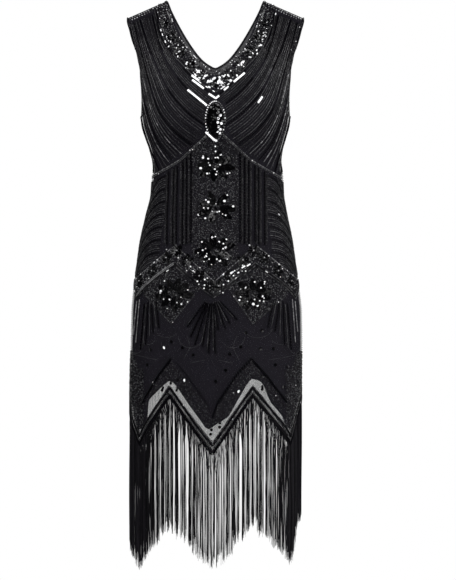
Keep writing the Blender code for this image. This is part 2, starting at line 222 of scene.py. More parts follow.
def edge_drop(side, x, strip=0.0):
    """Drop of a panel's upper edge. strip is how far inside the neckline it keeps."""
    x = np.abs(x)
    point = NECK_POINT_X + strip
    neck = neck_curve(np.maximum(x - strip, 0.0)) * NECK_SCALE[side]
    return np.where(x >= point, seam_drop(x), neck + strip * (1 - STRIP_NARROWING * x / point))


def top_drop(side, u, strip=0.0):
    """Drops at which columns of a panel start, found by halving."""
    low, high = np.zeros_like(u), np.full_like(u, UNDERARM_DROP - 2.0)
    for _ in range(HALVINGS):
        middle = (low + high) / 2
        above = middle < edge_drop(side, panel_x(u, middle), strip)
        low, high = np.where(above, middle, low), np.where(above, high, middle)
    return high


def figure_x(degrees, drop):
    """Distance from the centre, at an angle round the figure."""
    share = np.sin(np.radians(degrees))
    return share * (half_width(drop) + share * sway(drop))


def panel_x(u, drop):
    return figure_x(u * reach_degrees(drop), drop)


def zigzag(degrees):
    """0 at a peak of the hem and 1 at a point."""
    return np.abs((degrees / HEM_PITCH) % 1.0 - 0.5) * 2


def hem_drop(side, degrees):
    across = np.cos(np.radians(degrees))
    height = HEM_POINT_DROP + HEM_CENTRE_EXTRA * across**4 - HEM_PEAK_DROP
    lower = HEM_BACK_EXTRA * across if side == BACK else 0.0
    return HEM_PEAK_DROP + height * np.minimum(zigzag(degrees), HEM_POINT_CUT) + lower


def fold_depth(degrees, drop):
    """How far soft folds stand out at an angle round the whole figure."""
    depth = 0.0
    for count, slant, height, phase, start, full in FOLDS:
        wave = np.cos(count * np.radians(degrees) + slant * drop * MM + phase)
        depth = depth + height * wave * ease(start, full, drop)
    return depth


def hung(side, degrees, drop):
    """The angle at which a place of the pattern hangs."""
    return degrees + along_table(TWIST[side], degrees) * ease(*TWIST_DROPS, drop)


def cloth_point(side, degrees, drop):
    """Points on the net's outer face, in metres."""
    degrees, drop = np.broadcast_arrays(np.asarray(degrees, float), np.asarray(drop, float))
    degrees = hung(side, degrees, drop)
    angle = np.radians(degrees)
    x = figure_x(degrees, drop)
    rolled = np.clip((drop - seam_drop(x)) / SHOULDER_ROLL, 0.0, 1.0)
    y = depth_of[side](drop) * np.cos(angle) * np.sqrt(1 - (1 - rolled) ** 2)
    if side == FRONT:
        across = (np.abs(x) - CUP_X) / CUP_SPREAD_X
        down = (drop - CUP_DROP) / CUP_SPREAD_DROP
        y = y + CUP_FULLNESS * np.exp(-across * across - down * down) * np.cos(angle)
    fold = fold_depth(degrees if side == FRONT else 180.0 - degrees, drop)
    x = x + fold * np.sin(angle)
    y = np.maximum(y + fold * np.cos(angle), SEAM_HALF_GAP)
    return np.stack((x, side * y, ORIGIN_DROP - drop), axis=-1) * MM


def cloth_frame(side, degrees, drop, turn=0.3, fall=0.8):
    """Points on the net's outer face, with the directions across it and out of it."""
    across = unit(cloth_point(side, degrees + turn, drop) - cloth_point(side, degrees - turn, drop))
    down = cloth_point(side, degrees, drop + fall) - cloth_point(side, degrees, drop - fall)
    return cloth_point(side, degrees, drop), across, unit(np.cross(down, across) * -side)


def degrees_at(x, drop):
    """The angle round the figure that lies at a distance from the centre."""
    half = half_width(drop)
    share = 2 * x / (half + np.sqrt(np.square(half) + 4 * sway(drop) * x))
    return np.degrees(np.arcsin(np.clip(share, -1.0, 1.0)))


def on_panel(side, degrees, drop, margin=2.0):
    """Which places lie on the cloth, a margin inside its upper edge and armhole."""
    inside = np.abs(degrees) < reach_degrees(drop) - margin * DEGREES_PER_MM
    return inside & (drop > edge_drop(side, figure_x(degrees, drop)) + margin)


# ---------------- making meshes


class Places:
    """Where small pieces sit: points, the way each one runs, and its outward direction."""

    def __init__(self, point, along, normal):
        self.point = point
        self.normal = normal
        self.along = unit(along - normal * np.sum(along * normal, axis=-1, keepdims=True))

    def __len__(self):
        return len(self.point)

    @property
    def across(self):
        return np.cross(self.normal, self.along)

    def pick(self, chosen):
        return Places(self.point[chosen], self.along[chosen], self.normal[chosen])

    def lifted(self, height):
        height = np.broadcast_to(height, len(self))[:, None]
        return Places(self.point + self.normal * height * MM, self.along, self.normal)

    def turned(self, degrees):
        """Each turned about its own outward direction."""
        angle = np.radians(np.broadcast_to(degrees, len(self)))[:, None]
        along = self.along * np.cos(angle) + self.across * np.sin(angle)
        return Places(self.point, along, self.normal)

    def leaning(self, along_degrees, across_degrees):
        """Each with its outward direction leaning along its run and across it."""
        lean = 0.0
        for degrees, way in ((along_degrees, self.along), (across_degrees, self.across)):
            lean = lean + np.tan(np.radians(np.broadcast_to(degrees, len(self))))[:, None] * way
        return Places(self.point, self.along, unit(self.normal + lean))


class Shape:
    """A small form, taken from a bmesh and repeated many times."""

    def __init__(self, bm):
        bm.verts.index_update()
        self.points = np.array([v.co[:] for v in bm.verts])
        self.corners = np.array([v.index for face in bm.faces for v in face.verts])
        self.counts = np.array([len(face.verts) for face in bm.faces])
        bm.free()


class Beadwork:
    """Gathers many small pieces that become one mesh."""

    def __init__(self):
        self.points, self.corners, self.counts, self.shades, self.total = [], [], [], [], 0

    def put(self, placed, corners, counts, shade):
        """placed[piece, point] are the points of pieces whose faces are alike."""
        count, points = placed.shape[:2]
        starts = self.total + np.arange(count)[:, None] * points
        self.points.append(placed.reshape(-1, 3))
        self.corners.append((starts + corners).ravel())
        self.counts.append(np.tile(counts, count))
        self.shades.append(np.repeat(np.broadcast_to(shade, count), points))
        self.total += count * points

    def add(self, shape, places, shade, size):
        """size is one number, one for each piece, or three: along, across and out."""
        count = len(places)
        if not count:
            return
        size = np.asarray(size, float)
        if size.ndim == 1 and len(size) == count:
            size = size[:, None]
        local = shape.points * np.broadcast_to(size, (count, 3))[:, None] * MM
        placed = places.point[:, None]
        for axis, way in enumerate((places.along, places.across, places.normal)):
            placed = placed + local[..., axis, None] * way[:, None]
        self.put(placed, shape.corners, shape.counts, shade)

    def add_threads(self, lines, radius, shade):
        """Three-sided threads along lines[thread, level]."""
        count, levels = lines.shape[:2]
        corner = np.radians((90, 210, 330)) + chance.uniform(0, 6, (count, 1))
        ring = np.stack((np.cos(corner), np.sin(corner), np.zeros_like(corner)), axis=-1)
        placed = lines[:, :, None] + (ring * radius * MM)[:, None]
        level = np.arange(levels - 1)[:, None] * 3
        at, after = level + np.arange(3), level + (np.arange(3) + 1) % 3
        sides = np.stack((at, after, after + 3, at + 3), axis=-1).ravel()
        last = 3 * (levels - 1)
        corners = np.concatenate((sides, (2, 1, 0, last, last + 1, last + 2)))
        self.put(placed.reshape(count, -1, 3), corners, [4] * last + [3, 3], shade)

    def paint_shade(self, share):
        """Painted shade: share(x, drop) is what is left of a bead's shade value at a place on the
        dress.
        """
        for k, points in enumerate(self.points):
            drop = ORIGIN_DROP - points[:, 2] / MM
            self.shades[k] = self.shades[k] * share(points[:, 0] / MM, drop)

    def make(self, name, finish, slot, replaces=()):
        mesh = bpy.data.meshes.new(name)
        points, corners = np.concatenate(self.points), np.concatenate(self.corners)
        counts = np.concatenate(self.counts)
        mesh.vertices.add(len(points))
        mesh.vertices.foreach_set("co", points.astype(np.float32).ravel())
        mesh.loops.add(len(corners))
        mesh.loops.foreach_set("vertex_index", corners.astype(np.int32))
        mesh.polygons.add(len(counts))
        mesh.polygons.foreach_set("loop_start", (np.cumsum(counts) - counts).astype(np.int32))
        mesh.update(calc_edges=True)
        mesh.shade_smooth()
        mesh.set_sharp_from_angle(angle=math.radians(SHARP_DEGREES))
        shade = mesh.attributes.new("shade", "FLOAT", "POINT")
        shade.data.foreach_set("value", np.concatenate(self.shades).astype(np.float32))
        return put_on(name, mesh, finish, replaces)


pieces = []


def put_on(name, mesh, finish, replaces=()):
    """A mesh as a piece of the dress, with its finish."""
    made = bpy.data.objects.new(name, mesh)
    bpy.context.scene.collection.objects.link(made)
    mesh.materials.append(finish)
    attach(made, "root")
    if replaces:
        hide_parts(*replaces)
    pieces.append(made)
    return made


def mesh_from(name, bm):
    """A smooth mesh of a bmesh, which is freed."""
    mesh = bpy.data.meshes.new(name)
    bm.to_mesh(mesh)
    bm.free()
    mesh.shade_smooth()
    return mesh


def grid_of(points, weld=False):
    """A bmesh grid with its vertices at points[column, row]."""
    columns, rows = points.shape[0] - 1, points.shape[1] - 1
    bm = bmesh.new()
    bmesh.ops.create_grid(bm, x_segments=columns, y_segments=rows, size=0.5)
    column_of = bm.verts.layers.int.new("column")
    row_of = bm.verts.layers.int.new("row")
    for v in bm.verts:
        v[column_of] = round((v.co.x + 0.5) * columns)
        v[row_of] = round((0.5 - v.co.y) * rows)
        v.co = points[v[column_of], v[row_of]]
    if weld:
        bmesh.ops.remove_doubles(bm, verts=bm.verts, dist=1e-7)
    return bm


# ---------------- cloth

CLOTH_COLUMNS = 84
YOKE_ROWS = 26
BODY_ROWS = 58
# Where the facing behind the net ends: drop below the upper edge, distance beside the neck point.
FACING_DROPS = (14, 19)
FACING_SIDES = (10, 14)


def panel_grid(side, strip, hem):
    """Angles and drops of a panel's grid, from its upper edge to its hem."""
    u = np.linspace(-1, 1, CLOTH_COLUMNS + 1)
    for share in (NECK_SHARE, -NECK_SHARE):
        u[np.argmin(np.abs(u - share))] = share
    top = top_drop(side, u, strip)[:, None]
    yoke = (1 - np.cos(np.pi * np.arange(YOKE_ROWS) / YOKE_ROWS)) / 2
    body = np.linspace(0, 1, BODY_ROWS + 1)
    upper = top + (UNDERARM_DROP - top) * yoke
    lower = UNDERARM_DROP + (hem(side, 90 * u)[:, None] - UNDERARM_DROP) * body
    drop = np.concatenate((upper, lower), axis=1)
    return u[:, None] * reach_degrees(drop), drop


def make_cloth(name, side, strip, hem, depth, thickness, finish, replaces):
    """A panel of cloth as a thin closed wall. Its flat layout is kept in metres.

    The attribute double is 1 where a facing lies behind the net, along the neckline.
    """
    degrees, drop = panel_grid(side, strip, hem)
    point, _, normal = cloth_frame(side, degrees, drop)
    outer, inner = (point - normal * lift * MM for lift in (depth, depth + thickness))
    for face in (outer, inner):
        face[..., 1] = side * np.maximum(side * face[..., 1], SEAM_HALF_GAP * MM)
    bm = grid_of(outer)
    column_of, row_of = bm.verts.layers.int["column"], bm.verts.layers.int["row"]
    made = bmesh.ops.extrude_face_region(bm, geom=bm.faces[:], use_keep_orig=True)
    for v in made["geom"]:
        if isinstance(v, bmesh.types.BMVert):
            v.co = inner[v[column_of], v[row_of]]
    x = figure_x(degrees, drop)
    beside = np.abs(x) - NECK_POINT_X + drop - drop[:, :1]
    faced = 1 - ease(*FACING_DROPS, drop - edge_drop(side, x)) * ease(*FACING_SIDES, beside)
    double = bm.verts.layers.float.new("double")
    for v in bm.verts:
        v[double] = faced[v[column_of], v[row_of]]
    layout = bm.loops.layers.uv.new("layout")
    for face in bm.faces:
        for loop in face.loops:
            at = loop.vert[column_of], loop.vert[row_of]
            loop[layout].uv = (degrees[at] * LAYOUT_PER_DEGREE, -drop[at] * MM)
    bmesh.ops.recalc_face_normals(bm, faces=bm.faces)
    return put_on(name, mesh_from(name, bm), finish, replaces)


# ---------------- small forms


def tube_shape(sides):
    """A bugle bead, 1 long and 1 across."""
    bm = bmesh.new()
    bmesh.ops.create_cone(bm, cap_ends=True, segments=sides, radius1=0.5, radius2=0.5, depth=1)
    for v in bm.verts:
        v.co = (v.co.z, v.co.x, v.co.y + 0.5)
    bmesh.ops.recalc_face_normals(bm, faces=bm.faces)
    return Shape(bm)


def ball_shape():
    bm = bmesh.new()
    bmesh.ops.create_icosphere(bm, subdivisions=1, radius=0.52)
    bmesh.ops.translate(bm, verts=bm.verts, vec=(0, 0, 0.4))
    return Shape(bm)


def seed_shape():
    """A small cut bead, with five facets towards the cloth and five away from it."""
    bm = bmesh.new()
    bmesh.ops.create_uvsphere(bm, u_segments=5, v_segments=2, radius=0.56)
    bmesh.ops.translate(bm, verts=bm.verts, vec=(0, 0, 0.36))
    return Shape(bm)


def sequin_shape(sides, rise):
    """A thin sequin, 1 across, with a shallow dish."""
    bm = bmesh.new()
    size = {"radius1": 0.36, "radius2": 0.5, "depth": rise}
    bmesh.ops.create_cone(bm, cap_ends=True, segments=sides, **size)
    top = max(bm.faces, key=lambda face: face.calc_center_median().z)
    bmesh.ops.inset_region(bm, faces=[top], thickness=0.2)
    for v in top.verts:
        v.co.z -= rise * 0.5
    bmesh.ops.translate(bm, verts=bm.verts, vec=(0, 0, rise / 2))
    bmesh.ops.recalc_face_normals(bm, faces=bm.faces)
    return Shape(bm)


BUGLE = tube_shape(5)
SEED = seed_shape()
CRYSTAL = ball_shape()
SEQUIN = sequin_shape(8, 0.06)
DISC = sequin_shape(12, 0.05)


# ---------------- rows and stipples

BUGLE_PITCH = 6.2
DASH_PITCH = 4.2
PATH_POINTS = 40
# How far stippled beads lie off their grid, and how many are black.
STIPPLE_JITTER = 0.22
STIPPLE_BLACK = 0.38
SILVER = 0.9


def run_lengths(points):
    """The length of a line up to each of its points."""
    return np.concatenate(([0], np.cumsum(np.linalg.norm(np.diff(points, axis=0), axis=1))))


def path_at(x, drop):
    """A path of angles and drops, from distances from the centre and drops."""
    return np.column_stack((degrees_at(x, drop), drop))


def by_x(points, count=60):
    """A path through points given by distance from the centre and drop."""
    points = np.array(points, float)
    length = run_lengths(points)
    at = np.linspace(0, length[-1], count)
    return path_at(*(np.interp(at, length, column) for column in points.T))


def bent(points, count=PATH_POINTS):
    """Points of a smooth curve through a few given ones."""
    length = run_lengths(np.array(points, float))
    table = np.column_stack((length, points))
    at = np.linspace(0, length[-1], count)
    return np.column_stack([smooth_curve(table, k)(at) for k in (1, 2)])


def mirrored(path):
    return path * (-1.0, 1.0)


def both_ways(path):
    return [path, mirrored(path)]


def laid(side, degrees, drop):
    """Places on the cloth that run across it."""
    return Places(*cloth_frame(side, degrees, drop))


def row(side, path, pitch, start=0.5):
    """Places along a path of angles and drops, at a pitch measured on the cloth."""
    share = np.linspace(0, len(path) - 1, 12 * len(path))
    degrees, drop = (np.interp(share, np.arange(len(path)), column) for column in path.T)
    length = run_lengths(cloth_point(side, degrees, drop)) / MM
    at = np.arange(pitch * start, length[-1], pitch)
    if not len(at):
        at = np.array([length[-1] / 2])

    def along_line(where):
        return np.interp(where, length, degrees), np.interp(where, length, drop)

    point, _, normal = cloth_frame(side, *along_line(at))
    before, after = (cloth_point(side, *along_line(at + step)) for step in (-1.0, 1.0))
    return Places(point, after - before, normal).pick(on_panel(side, *along_line(at)))


def stipple(side, pitch, inside, drops):
    """Places spread evenly over a part of the cloth, each a little off its grid."""
    round_half = np.linspace(-90, 90, 361)
    off = STIPPLE_JITTER * pitch
    groups = []
    for k, level in enumerate(np.arange(*drops, pitch * 0.9)):
        length = run_lengths(cloth_point(side, round_half, level)) / MM
        at = np.arange(pitch * (0.5 + 0.5 * (k % 2)), length[-1], pitch)
        degrees = np.interp(at + chance.normal(0, off, len(at)), length, round_half)
        groups.append((degrees, level + chance.normal(0, off, len(at))))
    degrees, drop = np.concatenate(groups, axis=1)
    kept = inside(figure_x(degrees, drop), degrees, drop) & on_panel(side, degrees, drop)
    places = laid(side, degrees[kept], drop[kept])
    return places.turned(chance.uniform(0, 360, len(places)))


def near(side, x, drop, across=(0.0,), down=(0.0,)):
    """Places at offsets from a middle, measured on the cloth."""
    degrees = degrees_at(x, drop)
    turn = cloth_point(side, degrees + 1.0, drop) - cloth_point(side, degrees - 1.0, drop)
    mm_per_degree = np.linalg.norm(turn) / MM / 2
    at = degrees + np.asarray(across) / mm_per_degree, drop + np.asarray(down)
    return laid(side, *np.broadcast_arrays(*at))


def shades(count, low, high, bright=0.0):
    """Shades of beads, from dark to silver. bright is the share that is silver."""
    shade = low + (high - low) * chance.random(count) ** 1.5
    return np.where(chance.random(count) < bright, SILVER * chance.uniform(0.7, 1.1, count), shade)


def add_bugles(work, side, paths, tone=(0.0, 0.035), pitch=BUGLE_PITCH, width=2.0, height=None):
    """Rows of bugles. tone is their darkest and lightest shade, and the share that is silver."""
    size = (pitch * 0.88, width, height or width)
    for path in paths:
        places = row(side, path, pitch, chance.uniform(0.4, 0.6))
        work.add(BUGLE, places, shades(len(places), *tone), size)


def add_seeds(work, side, paths, tone=(0.0, 0.1), pitch=2.3, size=1.8):
    for path in paths:
        places = row(side, path, pitch)
        shade = shades(len(places), *tone)
        work.add(SEED, places, shade, size * chance.uniform(0.85, 1.1, len(places)))


def add_stipple(work, side, inside, drops, pitch, tone, size=1.7):
    """Seed beads spread over a part of the cloth, some of them black and a little larger."""
    places = stipple(side, pitch, inside, drops)
    low, high, bright = tone
    black = chance.random(len(places)) < STIPPLE_BLACK
    shade = np.where(black, 0.0, shades(len(places), low, 1.3 * high, bright))
    size = size * chance.uniform(0.85, 1.2, len(places)) * np.where(black, 1.2, 1.0)
    work.add(SEED, places, shade, size)


def add_dashes(work, lines, lift, shade, size):
    """Short rows of bugles that stand out of the front."""
    for points in lines:
        work.add(BUGLE, row(FRONT, by_x(points), DASH_PITCH).lifted(lift), shade, size)


# ---------------- finishes

# Radians of the net's waves in a metre.
NET_RATE = 3900.0
# How much the net covers: its ground, its threads, and the facing behind it.
GROUND_COVER = 0.12
THREAD_COVER = 0.34
FACING_COVER = 0.54
KNIT_DARK = (0.0088, 0.008, 0.0112)
KNIT_LIGHT = (0.0205, 0.0186, 0.0253)


class Field:
    """One output of a material's nodes. Arithmetic on it adds maths nodes."""

    def __init__(self, tree, socket=None):
        self.tree, self.socket = tree, socket

    def node(self, kind, inputs=None, out=0, **settings):
        made = self.tree.nodes.new(kind)
        for key, value in settings.items():
            setattr(made, key, value)
        for key, value in (inputs or {}).items():
            if isinstance(value, Field):
                self.tree.links.new(value.socket, made.inputs[key])
            else:
                made.inputs[key].default_value = value
        return Field(self.tree, made.outputs[out])

    def maths(self, operation, *others):
        return self.node("ShaderNodeMath", dict(enumerate((self, *others))), operation=operation)

    def __add__(self, other):
        return self.maths("ADD", other)

    def __mul__(self, other):
        return self.maths("MULTIPLY", other)

    __radd__ = __add__
    __rmul__ = __mul__

    def between(self, low, high):
        """0 below low, 1 above high, and a smooth step between."""
        inputs = {"Value": self, "From Min": low, "From Max": high}
        return self.node("ShaderNodeMapRange", inputs, interpolation_type="SMOOTHSTEP")

    def blend(self, dark, light):
        """A colour from dark to light. The mixing node's colours are its inputs 6 and 7."""
        inputs = {0: self, 6: (*dark, 1.0), 7: (*light, 1.0)}
        return self.node("ShaderNodeMix", inputs, out=2, data_type="RGBA")


def make_finish(name, roughness, specular=0.5, colour=None, build=None):
    """A material. build gives the shader's inputs that vary over the surface."""
    made = bpy.data.materials.new(name)
    made.use_nodes = True
    inputs = made.node_tree.nodes["Principled BSDF"].inputs
    inputs["Roughness"].default_value = roughness
    inputs["Specular IOR Level"].default_value = specular
    if colour:
        inputs["Base Color"].default_value = (*colour, 1.0)
    if build:
        for key, field in build(Field(made.node_tree)).items():
            made.node_tree.links.new(field.socket, inputs[key])
    return made


def shade_fields(dark, light):
    """Base colour from dark to light by each bead's own shade."""

    def build(start):
        shade = start.node("ShaderNodeAttribute", attribute_name="shade", out=2)
        return {"Base Color": shade.blend(dark, light)}

    return build


def net_fields(start):
    """A fine net: two families of slanting threads."""
    layout = start.node("ShaderNodeUVMap", uv_map="layout")
    x, y = (layout.node("ShaderNodeSeparateXYZ", {0: layout}, out=k) for k in (0, 1))
    right, left = (
        ((0.87 * x + slant * y) * NET_RATE).maths("SINE").between(0.35, 0.95)
        for slant in (0.5, -0.5)
    )
    threads = right.maths("MAXIMUM", left)
    double = start.node("ShaderNodeAttribute", attribute_name="double", out=2)
    return {"Alpha": THREAD_COVER * threads + FACING_COVER * double + GROUND_COVER}


def knit_fields(start):
    """A soft grain in the lining's colour and surface."""
    layout = start.node("ShaderNodeUVMap", uv_map="layout")
    grain = layout.node("ShaderNodeTexNoise", {"Vector": layout, "Scale": 420.0, "Detail": 2.0})
    bump = {"Strength": 0.35, "Distance": 0.0006, "Height": grain}
    return {
        "Normal": grain.node("ShaderNodeBump", bump),
        "Base Color": grain.between(0.3, 0.75).blend(KNIT_DARK, KNIT_LIGHT),
    }


# The light end of the bead and sequin shades: the silver beads' own colour, drawn as a diffuse white
# so that they look lit, which is a painted highlight.
SILVER_AND_GLINT_WHITE = (0.95, 0.95, 0.97)
glass = shade_fields((0.002, 0.0018, 0.0028), SILVER_AND_GLINT_WHITE)
film = shade_fields((0.0008, 0.0007, 0.001), SILVER_AND_GLINT_WHITE)
silk = shade_fields((0.0015, 0.0013, 0.002), (0.012, 0.011, 0.014))
net_finish = make_finish("net_tulle", 0.8, 0.08, (0.0085, 0.0078, 0.0108), net_fields)
lining_finish = make_finish("lining_knit", 0.7, 0.06, build=knit_fields)
bead_finish = make_finish("glass_beads", 0.2, 0.14, build=glass)
jet_finish = make_finish("jet_beads", 0.35, 0.03, (0.0012, 0.001, 0.0018))
trim_finish = make_finish("bound_edge", 0.6, 0.08, (0.003, 0.0027, 0.004))
sequin_finish = make_finish("sequin_film", 0.12, 0.12, build=film)
strand_finish = make_finish("fringe_silk", 0.5, 0.08, build=silk)


# ---------------- cloth of the dress


def lining_hem(side, degrees):
    return along_table(LINING_HEM[side], degrees)


cloths = {}
for word, side in SIDES:
    cloths["net", side] = make_cloth(
        f"net_{word}", side, 0.0, hem_drop, 0.0, NET_THICKNESS,
        net_finish, [f"{word}_panel"],
    )
    cloths["lining", side] = make_cloth(
        f"lining_{word}", side, NECK_STRIP, lining_hem, LINING_DEPTH, LINING_THICKNESS,
        lining_finish, [f"{word}_lining"],
    )


# ---------------- bound edges


def opening_ring(line, sign=1):
    """Places round an opening. line(side) gives the angles and drops of its edge on one side."""
    frames = []
    for side, way in ((FRONT, 1), (BACK, -1)):
        degrees, drop = (column[::way][:-1] for column in line(side))
        frames.append(cloth_frame(side, sign * degrees, drop))
    point, normal = (np.concatenate([frame[k] for frame in frames]) for k in (0, 2))
    normal = unit(sum(np.roll(normal, k, axis=0) for k in (-1, 0, 1)))
    return Places(point, np.roll(point, -1, axis=0) - np.roll(point, 1, axis=0), normal)


def neck_line(side):
    u = np.linspace(-NECK_SHARE, NECK_SHARE, 81)
    drop = top_drop(side, u)
    return u * reach_degrees(drop), drop


def armhole_line(side):
    top = top_drop(side, np.array([1.0]))
    drop = top + (UNDERARM_DROP - top) * (1 - np.cos(np.pi * np.linspace(0, 1, 41))) / 2
    return reach_degrees(drop), drop


def make_binding(name, ring, inwards, width, height, replaces):
    """A soft rounded edge round an opening."""
    around = np.linspace(0, 2 * np.pi, 11)
    in_share, out_share = (1 - np.cos(around)) / 2, np.sin(around) * 0.5 + 0.5
    across = (ring.across * inwards)[:, None]
    points = ring.point[:, None] + across * (in_share * width * MM)[None, :, None]
    points = points + ring.normal[:, None] * (out_share * height * MM)[None, :, None]
    bm = grid_of(np.concatenate((points, points[:1])), weld=True)
    bmesh.ops.recalc_face_normals(bm, faces=bm.faces)
    return put_on(name, mesh_from(name, bm), trim_finish, replaces)


make_binding("neck_edge", opening_ring(neck_line), -1, 4.0, 1.5, ["neck_binding"])
for sign, word in ((1, "left"), (-1, "right")):
    ring = opening_ring(armhole_line, sign)
    make_binding(f"armhole_edge_{word}", ring, -sign, 3.0, 1.5, [f"armhole_binding_{word}"])


# ---------------- beadwork of the bodice

# Guides of the bodice's bead rows, on the wearer's left: distance from the centre and drop.
BODICE_GUIDES = (
    ((117, 26), (108, 75), (93, 98), (68, 134), (30, 172), (5, 194)),
    ((125, 32), (114, 78), (100, 118), (70, 164), (44, 192), (19, 211)),
    ((150, 40), (136, 84), (118, 130), (90, 186), (54, 228), (19, 254)),
    ((162, 46), (150, 92), (135, 150), (113, 220), (80, 264), (46, 290)),
    ((169, 56), (160, 96), (149, 160), (133, 232), (112, 286), (86, 320)),
    ((173, 64), (164, 118), (157, 168), (147, 236), (130, 300), (117, 344)),
)
ROWS_BETWEEN_GUIDES = (6, 8, 9, 7, 4)
ROWS_TO_THE_SIDE = 5
LEAST_ROW_GAP = 2.3
# Rows of lighter bugles towards the sides: a painted sheen where the side lights catch them.
PAINTED_SHEEN_ROWS = (27, 31, 36)
FAR_AWAY = 9.0


def bodice_paths():
    """Rows on the wearer's left, from the neck band outwards: path, and whether it is a guide."""
    guides = [bent(g) for g in BODICE_GUIDES]
    rows = []
    for inner, outer, count in zip(guides, guides[1:], ROWS_BETWEEN_GUIDES):
        rows += [(inner + (outer - inner) * k / count, k == 0) for k in range(count)]
    rows.append((guides[-1], True))
    rows = [(path_at(*points.T), guide) for points, guide in rows]
    degrees, drop = rows[-1][0].T
    reach = np.maximum(reach_degrees(drop), degrees)
    for k in range(1, ROWS_TO_THE_SIDE):
        share = k / ROWS_TO_THE_SIDE
        rows.append((np.column_stack((degrees + (reach - degrees) * share, drop)), k == 3))
    return rows


def dark_parts(path):
    """Two stretches of a guide row, of varying length, that are jet."""
    count = len(path)
    first, second = chance.uniform(0.3, 0.5), chance.uniform(0.6, 0.72)
    return path[: int(first * count)], path[int(second * count) - 2 :]


def bodice_rows(side, work, jet):
    """Rows of dark, jet and lighter beads, some of them lighter as a painted sheen, which stop where
    they would crowd the next.
    """
    rows = bodice_paths()
    for sign in (1, -1):
        beside = np.full((PATH_POINTS, 3), FAR_AWAY)
        for k, (path, guide) in enumerate(rows):
            path = path if sign > 0 else mirrored(path)
            line = cloth_point(side, *path.T)
            clear = guide | (np.linalg.norm(line - beside, axis=1) > LEAST_ROW_GAP * MM)
            beside = np.where(clear[:, None], line, beside)
            path = path[clear]
            if len(path) < 4:
                continue
            light = chance.uniform(0.5, 2.7)
            if guide:
                for part in dark_parts(path):
                    add_bugles(jet, side, [part], width=2.8)
            # Lighter bugles: painted sheen of the side lights.
            elif k in PAINTED_SHEEN_ROWS:
                add_bugles(work, side, [path[len(path) // 3 :]], (0.02, 0.2), width=2.0)
            elif k % 2:
                add_seeds(work, side, [path], (0.01 * light, 0.05 * light), 2.1, 1.7)
            else:
                add_bugles(work, side, [path], (0.012 * light, 0.036 * light), width=1.9)


def bodice_tone_and_painted_shade(x, drop):
    """The rows are darker near the middle and at the shoulders, and darker on the wearer's right,
    which is painted shade where less light falls.
    """
    beside = 0.5 + 0.5 * ease(45, 120, np.abs(x))
    below = 0.5 + 0.5 * ease(50, 160, drop)
    return beside * below * (1.0 + 0.25 * ease(-60, 60, x))


# ---------------- sequin flowers

FLOWER_SEQUIN = 4.8
FLOWER_FLATNESS = 0.78
ROSETTE_SEQUIN = 4.4
ROSETTE_PETALS = 5
PETAL_LEAN = -14.0
PETAL_LIFT = 1.6


def pattern_x(side, x, drop):
    """Where on the pattern a thing is that hangs at a distance from the centre."""
    degrees = degrees_at(x, drop)
    return figure_x(2 * degrees - hung(side, degrees, drop), drop)


def petal(side, x, drop, angle, start, end, width, size, pitch=2.3):
    """Overlapping sequins along a petal that points away from a middle, all leaning one way."""
    count = max(2, round((end - start) / pitch))
    share = np.linspace(0, 1, count)
    lanes = max(1, round(width / (size * 0.62)))
    out = np.repeat(start + (end - start) * share, lanes)
    lane = np.tile(np.linspace(-0.5, 0.5, lanes) if lanes > 1 else np.zeros(1), count)
    aside = lane * width * np.repeat(np.sin(np.pi * (0.12 + 0.8 * share)), lanes)
    turn = math.radians(angle)
    across = out * math.cos(turn) - aside * math.sin(turn)
    down = out * math.sin(turn) + aside * math.cos(turn)
    places = near(side, x, drop, across, down).turned(angle * side)
    lean_along, lean_across = chance.normal(0, 9) + PETAL_LEAN, chance.normal(0, 13)
    count = len(places)
    places = places.leaning(
        lean_along + chance.normal(0, 4, count), lean_across + chance.normal(0, 4, count)
    )
    return places.lifted(PETAL_LIFT)


def add_flower(sequins, beads, side, x, drop, radius, petals, turn, silver):
    """A flower of stacked sequins with clear beads between them; some sequins, most at the chosen
    petals' tips, are white as painted glints.
    """
    for k in range(petals):
        angle = math.radians(turn + 360 / petals * k + chance.normal(0, 5))
        reach = radius * chance.uniform(0.86, 1.06)
        angle = math.atan2(math.sin(angle) * FLOWER_FLATNESS, math.cos(angle))
        reach *= math.hypot(math.cos(angle), math.sin(angle) * 0.85)
        angle = math.degrees(angle)
        places = petal(side, x, drop, angle, reach * 0.3, reach, radius * 0.26, FLOWER_SEQUIN)
        # Painted glints: white sequins at the tips of the chosen petals, and a few elsewhere.
        tip = (np.arange(len(places)) > 0.5 * len(places)) & (k in silver)
        bright = chance.random(len(places)) < 0.01 + 0.3 * tip
        sequins.add(SEQUIN, places, np.where(bright, 0.95, 0.0), FLOWER_SEQUIN)
    places = petal(side, x, drop, turn, 0.0, radius * 0.12, 4.0, FLOWER_SEQUIN)
    sequins.add(SEQUIN, places, 0.0, FLOWER_SEQUIN)
    count = petals + 6 if silver else 5
    angle = np.radians(turn + 180 / petals + 360 / petals * np.arange(count))
    out = radius * chance.uniform(0.25, 1.0, count)
    down = out * np.sin(angle) * FLOWER_FLATNESS
    places = near(side, x, drop, out * np.cos(angle), down).lifted(1.4)
    beads.add(CRYSTAL, places, shades(count, 0.6, 1.0), chance.uniform(2.2, 4.0, count))


